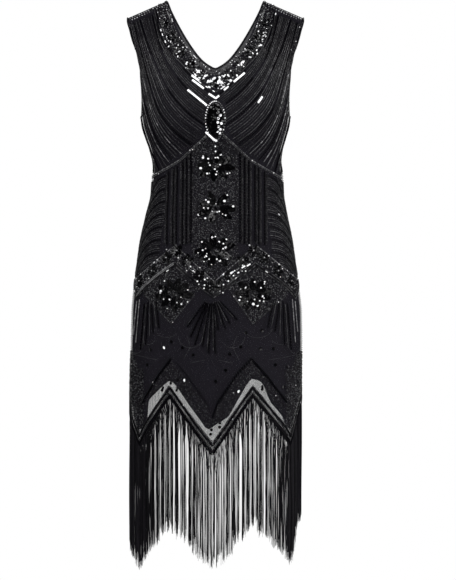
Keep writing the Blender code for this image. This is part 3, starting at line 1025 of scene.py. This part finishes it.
def add_rosette(sequins, beads, side, x, drop, radius, turn, silver):
    """A small flower of single sequins with silver beads beside it."""
    for k in range(ROSETTE_PETALS):
        angle = turn + 360 / ROSETTE_PETALS * k
        places = petal(
            side, x, drop, angle, radius * 0.3, radius * 0.85, 4.6, ROSETTE_SEQUIN, pitch=2.0
        )
        sequins.add(SEQUIN, places, 0.0, ROSETTE_SEQUIN)
    beads.add(SEED, near(side, x, drop).lifted(2.2), 0.3, 2.6)
    angle = chance.uniform(0, 2 * np.pi, silver)
    out = radius * chance.uniform(0.8, 1.25, silver)
    places = near(side, x, drop, out * np.cos(angle), out * np.sin(angle)).lifted(0.4)
    beads.add(CRYSTAL, places, shades(silver, 0.5, 1.0), chance.uniform(2.4, 3.8, silver))


# ---------------- parts of the beadwork

# Edges of the flower band round the neck, and the rosettes on it, on the wearer's left.
BAND_INNER = ((93, 16), (88, 34), (79, 63), (51, 104), (16, 139), (0, 147))
BAND_OUTER = ((121, 24), (109, 60), (93, 98), (55, 143), (31, 168), (0, 188))
BAND_ROSETTES = ((101, 48), (87, 75), (69, 106), (49, 131), (26, 155), (0, 170))


def neck_path(side, points, count=60):
    points = np.array(points, float) * (1.0, NECK_SCALE[side])
    return by_x(bent(points, count), count)


def neck_band(side, sequins, beads):
    """The band round the neck: rows at its edges, rosettes, a stipple and crystals."""
    inner, outer = neck_path(side, BAND_INNER), neck_path(side, BAND_OUTER)
    for path in both_ways(outer):
        places = row(side, path, 5.4)
        # Painted glints: on the front, the outer bugles near the V are mostly white, where the lamps
        # shine on them.
        v_glint_share = np.exp(-np.square(places.point[:, 0] / (30 * MM)))
        bright = chance.random(len(places)) < 0.1 + 0.7 * v_glint_share * (side == FRONT)
        beads.add(BUGLE, places, np.where(bright, 1.0, 0.03), (4.8, 2.2, 2.2))
    for share, tone, pitch, size in (
        (0.0, (0.01, 0.12, 0.16), 2.8, 2.0),
        (0.16, (0.0, 0.1, 0.12), 3.0, 1.8),
        (0.8, (0.0, 0.1, 0.2), 3.0, 2.0),
    ):
        add_seeds(beads, side, both_ways(inner * (1 - share) + outer * share), tone, pitch, size)
    for k, (x, drop) in enumerate(BAND_ROSETTES):
        for sign in (1, -1) if x else (1,):
            # Painted glints: the rosettes get more silver beads towards the V, and the fewest on the
            # wearer's right near the shoulder.
            silver = 1 if sign < 0 and x > 80 else 2 + k // 2
            place = sign * x, drop * NECK_SCALE[side]
            add_rosette(sequins, beads, side, *place, 10.5, 17 * k, silver)

    def on_band(x, degrees, drop):
        start, end = (
            along_table([point[::-1] for point in edge], drop) for edge in (BAND_INNER, BAND_OUTER)
        )
        return (np.abs(x) > start + 2) & (np.abs(x) < end - 3)

    add_stipple(beads, side, on_band, (0, 165), 4.5, (0.005, 0.11, 0.0), 3.1)
    # Painted glints: twice as many crystals on the wearer's left as on the right.
    for sign, count, crowding in ((1, 84, 0.7), (-1, 42, 0.5)):
        scatter_crystals(side, beads, inner, outer, sign, count, crowding)


def scatter_crystals(side, beads, inner, outer, sign, count, crowding):
    """Silver and dark beads over half of the neck band, larger and more often silver towards the V, as
    painted glints.
    """
    last = len(inner) - 1
    at = (chance.uniform(0.09, 1.0, count) ** crowding * last).astype(int)
    to_v = np.square(at / last)
    share = chance.uniform(0.3 + 0.35 * (1 - to_v), 0.95)[:, None]
    degrees, drop = (inner[at] * (1 - share) + outer[at] * share).T
    places = laid(side, sign * degrees, drop).lifted(0.3)
    shade = np.where(chance.random(count) < 0.34 + 0.4 * to_v, 0.95, 0.02)
    size = chance.uniform(2.4 + 0.8 * to_v, 3.2 + 2.4 * to_v)
    longer = chance.uniform(1.0, 2.2, count)
    size = size[:, None] * np.column_stack((longer, np.ones(count), np.ones(count)))
    beads.add(CRYSTAL, places.turned(chance.uniform(0, 180, count)), shade, size)


# Painted highlights: short rows of white bugles near the middle of the bodice, where the lamps glint
# on the bugle rows.
GLINT_BARS = (
    ((-54, 184), (-18, 214)), ((-46, 155), (-33, 165)), ((-45, 164), (-22, 182)),
    ((36, 168), (56, 151)), ((17, 185), (27, 176)), ((83, 209), (91, 197)),
    ((-13, 192), (1, 201), (7, 196)), ((-19, 266), (-8, 276), (1, 283), (4, 281)),
)
# The line under the bust: distance from the centre and drop.
EMPIRE_LINE = ((0, 258), (17, 272), (44, 296), (70, 320), (96, 335), (132, 354))


def empire_drop(x):
    return along_table(EMPIRE_LINE, np.abs(x))


def empire_paths(side, below):
    """The line under the bust on the wearer's left and right, apart at the front's medallion."""
    paths = []
    for sign in (1, -1):
        x = sign * np.linspace(15 if side == FRONT else 0, EMPIRE_LINE[-1][0], 80)
        paths.append(np.column_stack((degrees_at(x, empire_drop(x)), empire_drop(x) + below)))
    return paths


def empire_line(side):
    work = Beadwork()
    for below, size, light in ((0, 2.4, 0.15), (3.4, 2.0, 0.09)):
        add_seeds(work, side, empire_paths(side, below), (0.02, light, 0.04), 2.6, size)
    return work


# The centre column's half width, and the ribs beside it.
COLUMN_HALF = 46.0
RIBS = (49, 58, 66, 78, 85, 97)
RIB_END_DROP = 487.0
# Curved rows on the hips: number, drop of the first, step, fall to the side seam, first angle.
HIP_CURVES = 34
HIP_CURVE_START = 300.0
HIP_CURVE_STEP = 8.5
HIP_CURVE_FALL = 78.0
HIP_CURVE_ANGLE = 46.0
# The hip band's upper edge by distance from the centre, and the line below it by degrees.
HIP_BAND_UPPER = ((0, 562), (80, 490), (104, 508), (128, 528), (162, 556))
HIP_LINE = ((0, 590), (30, 527), (70.2, 592), (90, 560))


def hip_upper_drop(x):
    return along_table(HIP_BAND_UPPER, np.abs(x))


def hip_line_path(below, ends=(0, 90)):
    degrees = np.linspace(*ends, 61)
    return np.column_stack((degrees, along_table(HIP_LINE, degrees) + below))


def column_and_ribs(side, work, jet):
    """The stipple of the centre column, the ribs beside it and the curved rows on the hips."""

    def inside(x, degrees, drop):
        top = empire_drop(x) + 6
        if side == FRONT:
            top = np.where(np.abs(x) < 14, 286, top)
        return (np.abs(x) < COLUMN_HALF) & (drop > top) & (drop < hip_upper_drop(x) - 3)

    add_stipple(work, side, inside, (255, 565), 3.0, (0.008, 0.078, 0.002))
    for x in RIBS:
        start = float(empire_drop(x)) + 7
        path = by_x(((x, start), (x, RIB_END_DROP)))
        add_bugles(jet, side, both_ways(path), width=3.4)
        for aside in (3.0, 5.2):
            path = by_x(((x + aside, start + 3), (x + aside, RIB_END_DROP)))
            add_seeds(work, side, both_ways(path), (0.0, 0.05), 2.7, 1.9)
    share = np.linspace(0, 1, PATH_POINTS)
    degrees = HIP_CURVE_ANGLE + (90 - HIP_CURVE_ANGLE) * share
    for k in range(HIP_CURVES):
        drop = HIP_CURVE_START + HIP_CURVE_STEP * k + HIP_CURVE_FALL * share**2.2
        x = figure_x(degrees, drop)
        kept = (x > RIBS[-1] + 4) & (drop < hip_upper_drop(x) - 4) & (drop > empire_drop(x) + 6)
        if kept.sum() > 2:
            path = np.column_stack((degrees, drop))[kept]
            if k % 3 == 0:
                add_bugles(jet, side, both_ways(path), width=3.0, height=1.8)
            else:
                add_bugles(work, side, both_ways(path), (0.015, 0.06, 0.003))
            add_seeds(work, side, both_ways(path + (0, 4.2)), (0.0, 0.06), 2.6)


# Rosettes on the hip band: distance from the centre and drop.
BAND_FLOWERS = ((9, 570), (30, 550), (55, 519), (75, 500), (96, 514), (124, 540), (149, 560))


def hip_band(side, sequins, beads):
    """The band above the hip line: a stipple, its upper edge and rosettes."""

    def inside(x, degrees, drop):
        lower = along_table(HIP_LINE, np.abs(degrees))
        return (drop > hip_upper_drop(x) + 3) & (drop < lower - 7)

    add_stipple(beads, side, inside, (490, 600), 3.3, (0.0, 0.14, 0.01), 2.1)
    add_seeds(beads, side, both_ways(by_x(HIP_BAND_UPPER)), (0.02, 0.22, 0.04), 2.6, 2.2)
    silver = 1 if side == FRONT else 2
    for k, (x, drop) in enumerate(BAND_FLOWERS):
        for sign in (1, -1):
            add_rosette(sequins, beads, side, sign * x, drop, 13.0, 31 * k, silver)


# Painted glints: short white dashes along the inner part of the line on the wearer's left.
HIP_GLINT_DASHES = (
    ((31, 546), (40, 540)), ((45, 545), (50, 542)), ((53, 535), (59, 531)),
    ((63, 531), (71, 526)),
)


def hip_line(side):
    """Three rows of bugles; on the front, lighter bugles on the inner and outer parts and white dashes
    are painted glints.
    """
    work = Beadwork()
    for below, light in ((-3.4, 0.06), (0.0, 0.01), (3.4, 0.06)):
        add_bugles(work, side, both_ways(hip_line_path(below)), (0.0, light, 0.01))
    # Painted glints: on the front only, some bugles of the line are lighter, and white dashes stand on
    # it.
    if side == FRONT:
        for below in (-5.0, -1.4):
            path = mirrored(hip_line_path(below, (31, 70)))
            add_bugles(work, side, [path], (0.1, 0.2), width=2.2)
        for below in (-3.4, 3.4):
            add_bugles(work, side, [hip_line_path(below, (56, 88))], (0.03, 0.12), width=2.0)
        add_dashes(work, HIP_GLINT_DASHES, 1.0, 0.9, (4.1, 2.8, 2.4))
    return work


# Lower edge of the beaded diamonds below the hip line: distance from the centre, drop.
DIAMOND_EDGE = ((18, 562), (37, 586), (84, 645), (139, 590), (156, 570))


def diamonds(side, beads):
    """A stipple below the hip line, with a row of beads at its lower edge."""

    def inside(x, degrees, drop):
        above = along_table(HIP_LINE, np.abs(degrees))
        return (drop > above + 6) & (drop < along_table(DIAMOND_EDGE, np.abs(x)))

    add_stipple(beads, side, inside, (530, 646), 3.0, (0.0, 0.085, 0.004), 1.9)
    add_seeds(beads, side, both_ways(by_x(DIAMOND_EDGE[1:4])), (0.01, 0.07, 0.02))


# The dark rays below the middle of the hip line: the drop near which they all start, and
# distance from the centre and drop of their ends.
RAYS_TOP = 597.0
MIDDLE_RAYS = (
    (-51, 650), (-43, 668), (-34, 684), (-20, 690), (-7, 700), (7, 706), (12, 656), (26, 652),
    (38, 646), (51, 636),
)
# Side rays, dark and grey: distance from the centre and drop of both ends.
SIDE_RAYS = (
    ((117, 600), (109, 653)), ((127, 606), (121, 662)), ((134, 600), (137, 688)),
    ((142, 604), (149, 694)),
)
SIDE_GREY_RAYS = (
    ((122, 602), (115, 650)), ((130, 600), (129, 668)), ((138, 606), (143, 690)),
    ((152, 596), (159, 680)), ((158, 600), (164, 664)),
)


def fans(side, work, jet):
    """Rays of bugles that spread below the hip line, dark ones with finer ones between."""
    for x, drop in MIDDLE_RAYS:
        beside = x * 0.88 - 4, drop - 6
        for end, lines, width in (((x, drop), jet, 3.2), (beside, work, 1.7)):
            start = (end[0] * 0.28 - 2, RAYS_TOP + (end[1] - RAYS_TOP) * 0.07)
            add_bugles(lines, side, [by_x((start, end))], (0.012, 0.06), width=width)
    for ray in SIDE_RAYS:
        add_bugles(jet, side, both_ways(by_x(ray)), width=3.0)
    for ray in SIDE_GREY_RAYS:
        # The outermost grey rays are lighter: a painted sheen of the side lights.
        tone = (0.1, 0.3) if ray[0][0] > 150 else (0.015, 0.06)
        add_bugles(work, side, both_ways(by_x(ray)), tone, width=1.8)


# Small arcs on the skirt: distance of their middle from the centre, drop, half width, height.
ARCS = ((15, 668, 9, 24), (33, 652, 10, 20), (50, 664, 9, 22), (68, 690, 10, 14))
FINE_LINES = (((52, 668), (44, 690), (58, 716)), ((112, 716), (165, 706)), ((14, 716), (44, 722)))


def scallops(side):
    """Fine lines of small beads on the skirt."""
    work = Beadwork()
    turn = np.linspace(0.15, 2.5, 30)
    arcs = [
        np.column_stack((middle + across * np.cos(turn), top + down * np.sin(turn)))
        for middle, top, across, down in ARCS
    ]
    for path in arcs + [by_x(points) for points in FINE_LINES]:
        add_seeds(work, side, both_ways(path), (0.025, 0.075), 2.0, 1.1)
    return work


# The dark line on the skirt: distance from the centre and drop.
CHEVRON = ((0, 828), (12, 798), (54, 742), (84, 712), (110, 748), (140, 800))


def chevron(side, beads, jet):
    """The dark line above the lining's hem, with a stipple between the two.

    On the wearer's right of the front its inner part is thin.
    """
    line = by_x(CHEVRON, 90)
    other = by_x(CHEVRON[3:], 50) if side == FRONT else line
    for below in (0.0, 3.0):
        add_bugles(jet, side, [line + (0, below), mirrored(other + (0, below))], width=2.6)
    if side == FRONT:
        add_bugles(jet, side, [mirrored(line[:50])], width=1.4)

    def inside(x, degrees, drop):
        above = along_table(CHEVRON, np.abs(x))
        return (np.abs(x) < 134) & (drop > above + 6) & (drop < lining_hem(side, degrees) - 1)

    add_stipple(beads, side, inside, (712, 862), 3.2, (0.0, 0.045, 0.003))


def side_stipple(side, beads):
    """A stipple near the side seams, from below the single sequins to the hem's rows."""

    def inside(x, degrees, drop):
        start = 700 + 34 * np.clip((74 - np.abs(degrees)) / 12, 0, 1)
        return (np.abs(degrees) > 54) & (drop > start) & (drop < hem_drop(side, degrees) - 26)

    add_stipple(beads, side, inside, (700, 880), 3.3, (0.0, 0.075, 0.006), 1.9)


# Painted glints: large white beads where the front's flowers and hip band glint. Distance from the
# centre, drop, size.
GLINT_BEADS = (
    (-24, 316, 5.4), (-14, 318, 4.6), (0, 316, 3.4), (-10.5, 331, 4.0), (9, 330, 3.4),
    (-28.5, 337, 6.2), (-1, 339, 3.8), (-16, 348, 4.6), (23, 348, 3.6), (1.5, 350, 4.2),
    (23, 391, 3.4), (17.5, 403, 6.0), (-13.5, 405, 6.0), (34.5, 413.5, 5.2),
    (-22.5, 416.5, 3.6), (7.5, 423.5, 3.6), (14, 428.5, 2.6), (20, 431, 3.6), (-19.5, 437, 4.8),
    (0, 473, 3.4), (21.5, 478.5, 4.0), (-26, 483.5, 3.8), (15.5, 487, 3.6), (15, 497, 3.4),
    (-24.5, 500, 4.0), (-33.5, 505, 2.8), (-20.5, 513.5, 2.8), (-22, 522, 2.8),
    (-7.5, 528, 2.4), (-30, 534, 2.6), (15.5, 548, 3.6), (-20.5, 557.5, 4.0), (-35, 561, 4.0),
    (-32, 567, 2.6), (-21, 568.5, 3.6), (16, 567.5, 3.4), (-22, 575, 3.6), (15, 583.5, 3.0),
    (-43, 540.5, 3.4), (-99, 560.5, 3.4), (-106, 580.5, 5.8), (-53.5, 578, 3.0),
    (-54, 601.5, 3.0), (59, 541, 3.0), (35.5, 550, 3.6), (76.5, 562.5, 4.4), (96, 562, 4.0),
    (88.5, 574, 3.6), (94.5, 594, 3.0), (47, 598, 4.6), (74, 606, 6.6), (86, 599.5, 3.4),
)


def glint_beads():
    """The large white beads of the painted glints, flat towards the cloth."""
    beads = Beadwork()
    for x, drop, size in GLINT_BEADS:
        places = near(FRONT, pattern_x(FRONT, x, drop), drop).lifted(2.4)
        beads.add(CRYSTAL, places, 0.97, (size, 0.9 * size, 0.6 * size))
    return beads


# Single round sequins on the skirt: distance from the centre and drop.
PAILLETTES = (
    (-139, 612), (-127, 696), (-101, 692), (-87, 680), (-65, 692), (-43, 706), (-133, 726),
    (61, 662), (91, 658), (51, 690), (29, 704), (21, 736), (1, 758), (113, 694), (87, 694),
    (117, 726), (141, 730), (91, 748), (133, 770), (-75, 756), (-61, 756), (-121, 762),
    (47, 778), (-105, 776), (-89, 762), (-77, 776), (9, 848), (-9, 862), (91, 774),
)
# Paillettes that are white, as painted glints.
GLINTING_PAILLETTES = ((-101, 692), (-61, 756), (-121, 762), (47, 778))


def paillettes(side, sequins):
    """Single sequins, dark with a bead at the middle, or white and narrower as painted glints."""
    for x, drop in PAILLETTES:
        places = near(side, pattern_x(side, x, drop), drop).lifted(0.9).leaning(-5, 0)
        if (x, drop) in GLINTING_PAILLETTES:
            sequins.add(DISC, places.turned(chance.uniform(0, 180)), 0.95, (6.2, 4.2, 6.0))
        else:
            sequins.add(DISC, places, 0.0, 6.4)
            sequins.add(SEED, places.lifted(0.2), 0.0, 1.8)


def hem_rows(side, beads):
    """Dark rows of bugles along the hem, with finer rows of seed beads between them."""
    jet = Beadwork()
    degrees = np.linspace(-90, 90, 241)

    def above_hem(rise):
        return [np.column_stack((degrees, hem_drop(side, degrees) - rise))]

    for rise in (1.6, 4.6, 7.4, 18.4, 21.2):
        add_bugles(jet, side, above_hem(rise), pitch=4.0, width=2.9, height=1.6)
    for rise in (10.2, 12.8, 15.4, 24.0):
        add_seeds(beads, side, above_hem(rise), (0.0, 0.08, 0.004), 2.7)
    return jet


MEDALLION_DROP = 245.0
MEDALLION_END = 294.0
MEDALLION_HALVES = (19.0, 38.0)
MEDALLION_BEADS = 42
# Its white sequins, painted glints on its wearer's-left side, from its middle: to the wearer's left,
# down.
MEDALLION_GLINTS = (
    (5, -17), (10, -11), (6, -5), (5, 3), (12, 5), (6, 11), (10, 16), (4, 20), (9, 23),
)


def medallion_ring(count, scale):
    """Offsets round an oval that narrows downwards: to the wearer's left, down."""
    angle = np.linspace(0, 2 * np.pi, count, endpoint=False)
    down = np.sin(angle)
    narrowing = 1 - 0.28 * np.maximum(down, 0.0) ** 2
    width, height = MEDALLION_HALVES
    return width * scale * np.cos(angle) * narrowing, height * scale * down


def on_medallion(offsets, lift):
    return near(FRONT, 0.0, MEDALLION_DROP, *offsets).lifted(lift)


def medallion():
    """A dark oval of sequins, white on one side as painted glints, in a ring of beads and with two
    below it.
    """
    sequins, beads = Beadwork(), Beadwork()
    for scale in (0.15, 0.32, 0.5, 0.68, 0.84):
        count = max(5, round(scale * 34))
        places = on_medallion(medallion_ring(count, scale), 0.6 + 3.2 * (1 - scale**2))
        places = places.leaning(chance.normal(0, 5, count), chance.normal(0, 5, count))
        sequins.add(SEQUIN, places, 0.0, 6.2)
    offsets = np.array(MEDALLION_GLINTS, float).T
    sequins.add(SEQUIN, on_medallion(offsets, 4.2 - np.hypot(*offsets) / 12), 0.95, 5.6)
    outer, inner = (medallion_ring(MEDALLION_BEADS, scale) for scale in (1.02, 0.9))
    silver = chance.random(MEDALLION_BEADS) < np.where(outer[0] < -2, 0.85, 0.35)
    beads.add(CRYSTAL, on_medallion(outer, 0.5), np.where(silver, 0.9, 0.1), 2.9)
    shade = chance.uniform(0.0, 0.15, MEDALLION_BEADS)
    beads.add(CRYSTAL, on_medallion(inner, 0.5), shade, 2.4)
    places = near(FRONT, 0.0, MEDALLION_END, [0.0, 0.5], [0.0, 10.0]).lifted(0.3)
    beads.add(CRYSTAL, places, 1.0, 3.6)
    return sequins, beads


def shoulder_trims(side, beads):
    """Light seed beads along the shoulder seams, and rows of fine ones inside the armholes."""
    x = np.linspace(99, 172, 30)
    for below, pitch, size in ((1.6, 6.0, 5.0), (5.4, 5.0, 3.4), (9.4, 5.4, 2.6)):
        path = path_at(x, seam_drop(x) + below)
        add_seeds(beads, side, both_ways(path), (0.02, 0.45, 0.04), pitch, size)
    drop = np.linspace(44, 231, 90)
    for inside in (1.6, 3.0, 4.4):
        path = np.column_stack((reach_degrees(drop) - inside, drop))
        add_seeds(beads, side, both_ways(path), (0.0, 0.06, 0.01), 2.4, 1.8)


def side_seams(side, jet):
    """A row of small beads down both side seams."""
    drop = np.linspace(256, HEM_PEAK_DROP - 26, 60)
    path = np.column_stack((np.full(60, 89.1), drop))
    add_seeds(jet, side, both_ways(path), pitch=3.7, size=1.7)


# Where the fringe parts, as distances from the centre, with half the gap's width.
FRINGE_GAPS = (
    (-84, 1.2), (-73, 2.2), (-65, 1.6), (-57, 1.8), (-41, 1.1), (-29, 0.8), (-18, 0.8),
    (-9, 0.6), (0, 1.0), (10, 0.8), (31, 1.0), (38, 0.6), (51, 2.9), (62, 0.5), (71, 0.7),
    (87, 0.8), (98, 0.7), (119, 1.3),
)
# The fringe's lower end: degrees from the centre, drop.
FRINGE_TIPS = (
    (-90, 1058), (-83, 1066), (-76, 1102), (-60, 1130), (-30, 1046), (0, 1132), (30, 1046),
    (60, 1126), (68, 1112), (72, 1080), (76, 1044), (90, 1024),
)
# A thin line in the close fringe on the wearer's left: distance from the centre, half width.
SIDE_PARTING = {FRONT: (139.0, 1.7), BACK: (142.0, 1.7)}
# The angles, right and left, beyond which the fringe is close and dark.
CLOSE_FRINGE = (-51.5, 52.0)
# From the close part on the right to this angle the fringe is a little denser.
DENSER_END = -18.0
# The threads: the angle that they reach, the drop at which their places are measured.
FRINGE_REACH = 89.6
FRINGE_MIDDLE = 1000.0
FRINGE_THREADS = 1500
FRINGE_LEVELS = 12
FRINGE_SEED = 69
LOCKS = 40
FIRST_LOCK = -175.0
THREAD_RADIUS = 0.29


def fringe_threads(side, draw):
    """Where threads hang: angle, nearness to the side from 0 to 1, distance from the centre."""
    degrees = FRINGE_REACH * np.linspace(-1, 1, FRINGE_THREADS)
    degrees = np.clip(degrees + draw.normal(0, 0.1, FRINGE_THREADS), -89.8, 89.8)
    right, left = CLOSE_FRINGE
    edge = ease(-1.5, 1.5, np.where(degrees < 0, right - degrees, degrees - left))
    denser = 0.13 * ((degrees > right) & (degrees < DENSER_END))
    kept = draw.random(FRINGE_THREADS) < 0.7 + 0.3 * edge + denser
    degrees, edge = degrees[kept], edge[kept]
    x = figure_x(hung(side, degrees, FRINGE_MIDDLE), FRINGE_MIDDLE)
    parting, half = SIDE_PARTING[side]
    kept = (np.abs(x - parting) > half) | (draw.random(len(x)) < 0.12)
    return degrees[kept], edge[kept], x[kept]


def fringe(side):
    """Many fine threads from the hem, drawn into locks with gaps between them."""
    draw = np.random.default_rng(FRINGE_SEED + side)
    degrees, edge, x = fringe_threads(side, draw)
    count = len(x)
    locks = FIRST_LOCK + np.cumsum(draw.uniform(6.0, 15.0, LOCKS))
    lock = np.argmin(np.abs(x[:, None] - locks[None]), axis=1)
    gathered = (draw.random(count) < 0.56) & (edge < 0.5)
    to_lock = locks[lock] + (x - locks[lock]) * 0.08 + draw.normal(0, 0.45, count)
    parted = np.where(gathered, to_lock, x)
    for gap, half in FRINGE_GAPS:
        offset = parted - gap
        away = np.where(offset >= 0, 1.0, -1.0) * half * np.exp(-np.square(offset / (2.6 * half)))
        parted = parted + away * (1 - edge)
    turning = half_width(FRINGE_MIDDLE) * np.maximum(np.cos(np.radians(degrees)), 0.3)
    shift = np.degrees((parted - x) / turning)
    level = np.linspace(0, 1, FRINGE_LEVELS)[None]
    top = hem_drop(side, degrees) - 3
    tip = along_table(FRINGE_TIPS, degrees) + 9 - np.abs(draw.normal(0, 8 + 14 * edge))
    tip = tip - 6 * draw.random(count) + draw.uniform(-12, 2, LOCKS)[lock]
    drop = top[:, None] + (tip - top)[:, None] * level
    wave = np.sin(level * 7 + draw.uniform(0, 6, (count, 1)))
    wander = draw.normal(0, 0.32, (count, 1)) * level**2 + draw.normal(0, 0.1, (count, 1)) * wave
    around = degrees[:, None] + shift[:, None] * ease(0.0, 0.25, level) + wander
    line, _, normal = cloth_frame(side, np.clip(around, -89.9, 89.9), drop)
    depth = draw.uniform(-0.8, 3.4, (count, 1, 1)) * ease(0.0, 0.1, level)[..., None]
    light = (edge > 0.5) & (draw.random(count) < np.where(degrees > 0, 0.12, 0.04))
    shade = shades(count, 0.0, 1.0 + 0.8 * edge) + 9.0 * light
    work = Beadwork()
    work.add_threads(line - normal * depth * MM, THREAD_RADIUS, shade)
    return work


# ---------------- the dress's beadwork

for word, side in SIDES:
    sequins, beads = Beadwork(), Beadwork()
    neck_band(side, sequins, beads)
    shoulder_trims(side, beads)
    if side == FRONT:
        # White bugle bars: painted highlights.
        add_dashes(beads, GLINT_BARS, 1.2, 1.0, (4.3, 4.2, 3.2))
    sequins.make(f"neck_rosettes_{word}", sequin_finish, "sequins")
    beads.make(f"neck_beads_{word}", bead_finish, "bead_trim")
    beads, jet = Beadwork(), Beadwork()
    bodice_rows(side, beads, jet)
    # The bodice's beads are darkened by place, partly as painted shade.
    beads.paint_shade(bodice_tone_and_painted_shade)
    side_seams(side, jet)
    beads.make(f"bodice_rows_{word}", bead_finish, "bead_trim")
    line = empire_line(side)
    line.make(f"empire_line_{word}", bead_finish, "bead_trim", [f"empire_chevron_{word}"])
    beads = Beadwork()
    column_and_ribs(side, beads, jet)
    beads.make(f"waist_rows_{word}", bead_finish, "bead_trim")
    hip_line(side).make(f"hip_line_{word}", bead_finish, "bead_trim", [f"hip_chevron_{word}"])
    sequins, beads = Beadwork(), Beadwork()
    hip_band(side, sequins, beads)
    diamonds(side, beads)
    chevron(side, beads, jet)
    side_stipple(side, beads)
    paillettes(side, sequins)
    fans(side, beads, jet)
    sequins.make(f"hip_rosettes_{word}", sequin_finish, "sequins")
    hem_rows(side, beads).make(f"hem_rows_{word}", jet_finish, "bead_trim", [f"hem_border_{word}"])
    beads.make(f"skirt_stipple_{word}", bead_finish, "bead_trim")
    jet.make(f"jet_rows_{word}", jet_finish, "bead_trim")
    scallops(side).make(f"skirt_lines_{word}", bead_finish, "bead_trim")
    fringe(side).make(f"fringe_threads_{word}", strand_finish, "fringe_beads", [f"fringe_{word}"])

sequins, beads = medallion()
sequins.make("medallion_sequins", sequin_finish, "sequins", ["medallion"])
beads.make("medallion_beads", bead_finish, "bead_trim")
# White beads as painted glints on the front.
glint_beads().make("silver_beads_front", bead_finish, "bead_trim")

# Sequin flowers: name, side, distance from the centre, drop, radius, petals, turn, and silver petals,
# whose tips carry painted glints.
FLOWERS = (
    ("front_upper", FRONT, 0, 333, 36, 8, 10, ()),
    ("front_middle", FRONT, 0, 416, 36, 7, 46, ()),
    ("front_lower", FRONT, 0, 502, 38, 9, 20, ()),
    ("hip_right", FRONT, -81, 586, 38, 9, 5, ()),
    ("hip_left", FRONT, 81, 586, 38, 9, 25, ()),
    ("back_upper", BACK, 0, 350, 36, 8, 30, (3, 4)),
    ("back_lower", BACK, 0, 480, 40, 9, 0, (1,)),
)
for word, side, x, drop, radius, petals, turn, silver in FLOWERS:
    sequins, beads = Beadwork(), Beadwork()
    add_flower(sequins, beads, side, x, drop, radius, petals, turn, silver)
    sequins.make(f"flower_sequins_{word}", sequin_finish, "sequins", [f"flower_{word}"])
    beads.make(f"flower_beads_{word}", bead_finish, "bead_trim")


# The pieces sewn onto each side's net and lining, gathered but not used further.
for word, side in SIDES:
    net, lining = cloths["net", side], cloths["lining", side]
    sewn_on = [p for p in pieces if word in p.name and p not in (net, lining)]
    if side == FRONT:
        on_front = ("neck_edge", "armhole_edge", "medallion")
        sewn_on += [p for p in pieces if p.name.startswith(on_front)]


# ---------------- surroundings

MIDDLE = Vector((0.0, 0.0, -0.5))
# Soft lights: place, width, height, radiance.
LIGHTS = {
    "key": ((-0.9, -2.2, 1.2), 1.3, 1.0, 19.0),
    "fill": ((1.5, -2.3, 0.1), 0.6, 1.5, 11.0),
    "side_left": ((2.2, -0.5, -0.3), 0.4, 1.8, 14.0),
    "side_right": ((-2.2, -0.5, -0.3), 0.4, 1.8, 5.0),
    "behind": ((0.6, 2.2, 1.0), 1.4, 1.2, 12.0),
}
for name, (location, width, height, radiance) in LIGHTS.items():
    light = bpy.data.lights.new(name, "AREA")
    light.shape = "RECTANGLE"
    light.size, light.size_y = width, height
    light.energy = radiance * math.pi * width * height
    lamp = bpy.data.objects.new(name, light)
    bpy.context.scene.collection.objects.link(lamp)
    lamp.location = location
    lamp.rotation_euler = (MIDDLE - Vector(location)).to_track_quat("-Z", "Y").to_euler()
    lamp.visible_camera = False

FLOOR_HEIGHT = -1.47
bm = bmesh.new()
bmesh.ops.create_circle(bm, cap_ends=True, segments=96, radius=2.0)
bmesh.ops.translate(bm, verts=bm.verts, vec=(0, 0, FLOOR_HEIGHT))
floor = bpy.data.objects.new("floor", mesh_from("floor", bm))
bpy.context.scene.collection.objects.link(floor)
floor.data.materials.append(make_finish("pale_floor", 0.9, colour=(0.5, 0.5, 0.5)))

# The white room is seen in full by the camera, and only this share of it lights the cloth.
ROOM_LIGHT = 0.06
world = bpy.data.worlds.new("studio")
bpy.context.scene.world = world
world.use_nodes = True
seen = Field(world.node_tree).node("ShaderNodeLightPath", out=0)
background = world.node_tree.nodes["Background"]
world.node_tree.links.new(((1 - ROOM_LIGHT) * seen + ROOM_LIGHT).socket, background.inputs["Strength"])
background.inputs["Color"].default_value = (1, 1, 1, 1)

SENSOR_WIDTH = 36.0
CAMERA_DISTANCE = 8.0
VIEW_SIZE = 1.16
camera = bpy.data.objects.new("camera", bpy.data.cameras.new("camera"))
bpy.context.scene.collection.objects.link(camera)
camera.location = (0.025, -CAMERA_DISTANCE, -0.56)
camera.rotation_euler = (math.pi / 2, 0, 0)
camera.data.sensor_width = SENSOR_WIDTH
camera.data.lens = SENSOR_WIDTH * CAMERA_DISTANCE / VIEW_SIZE
camera.data.clip_end = 100.0
bpy.context.scene.camera = camera
bpy.context.scene.view_settings.view_transform = "Standard"
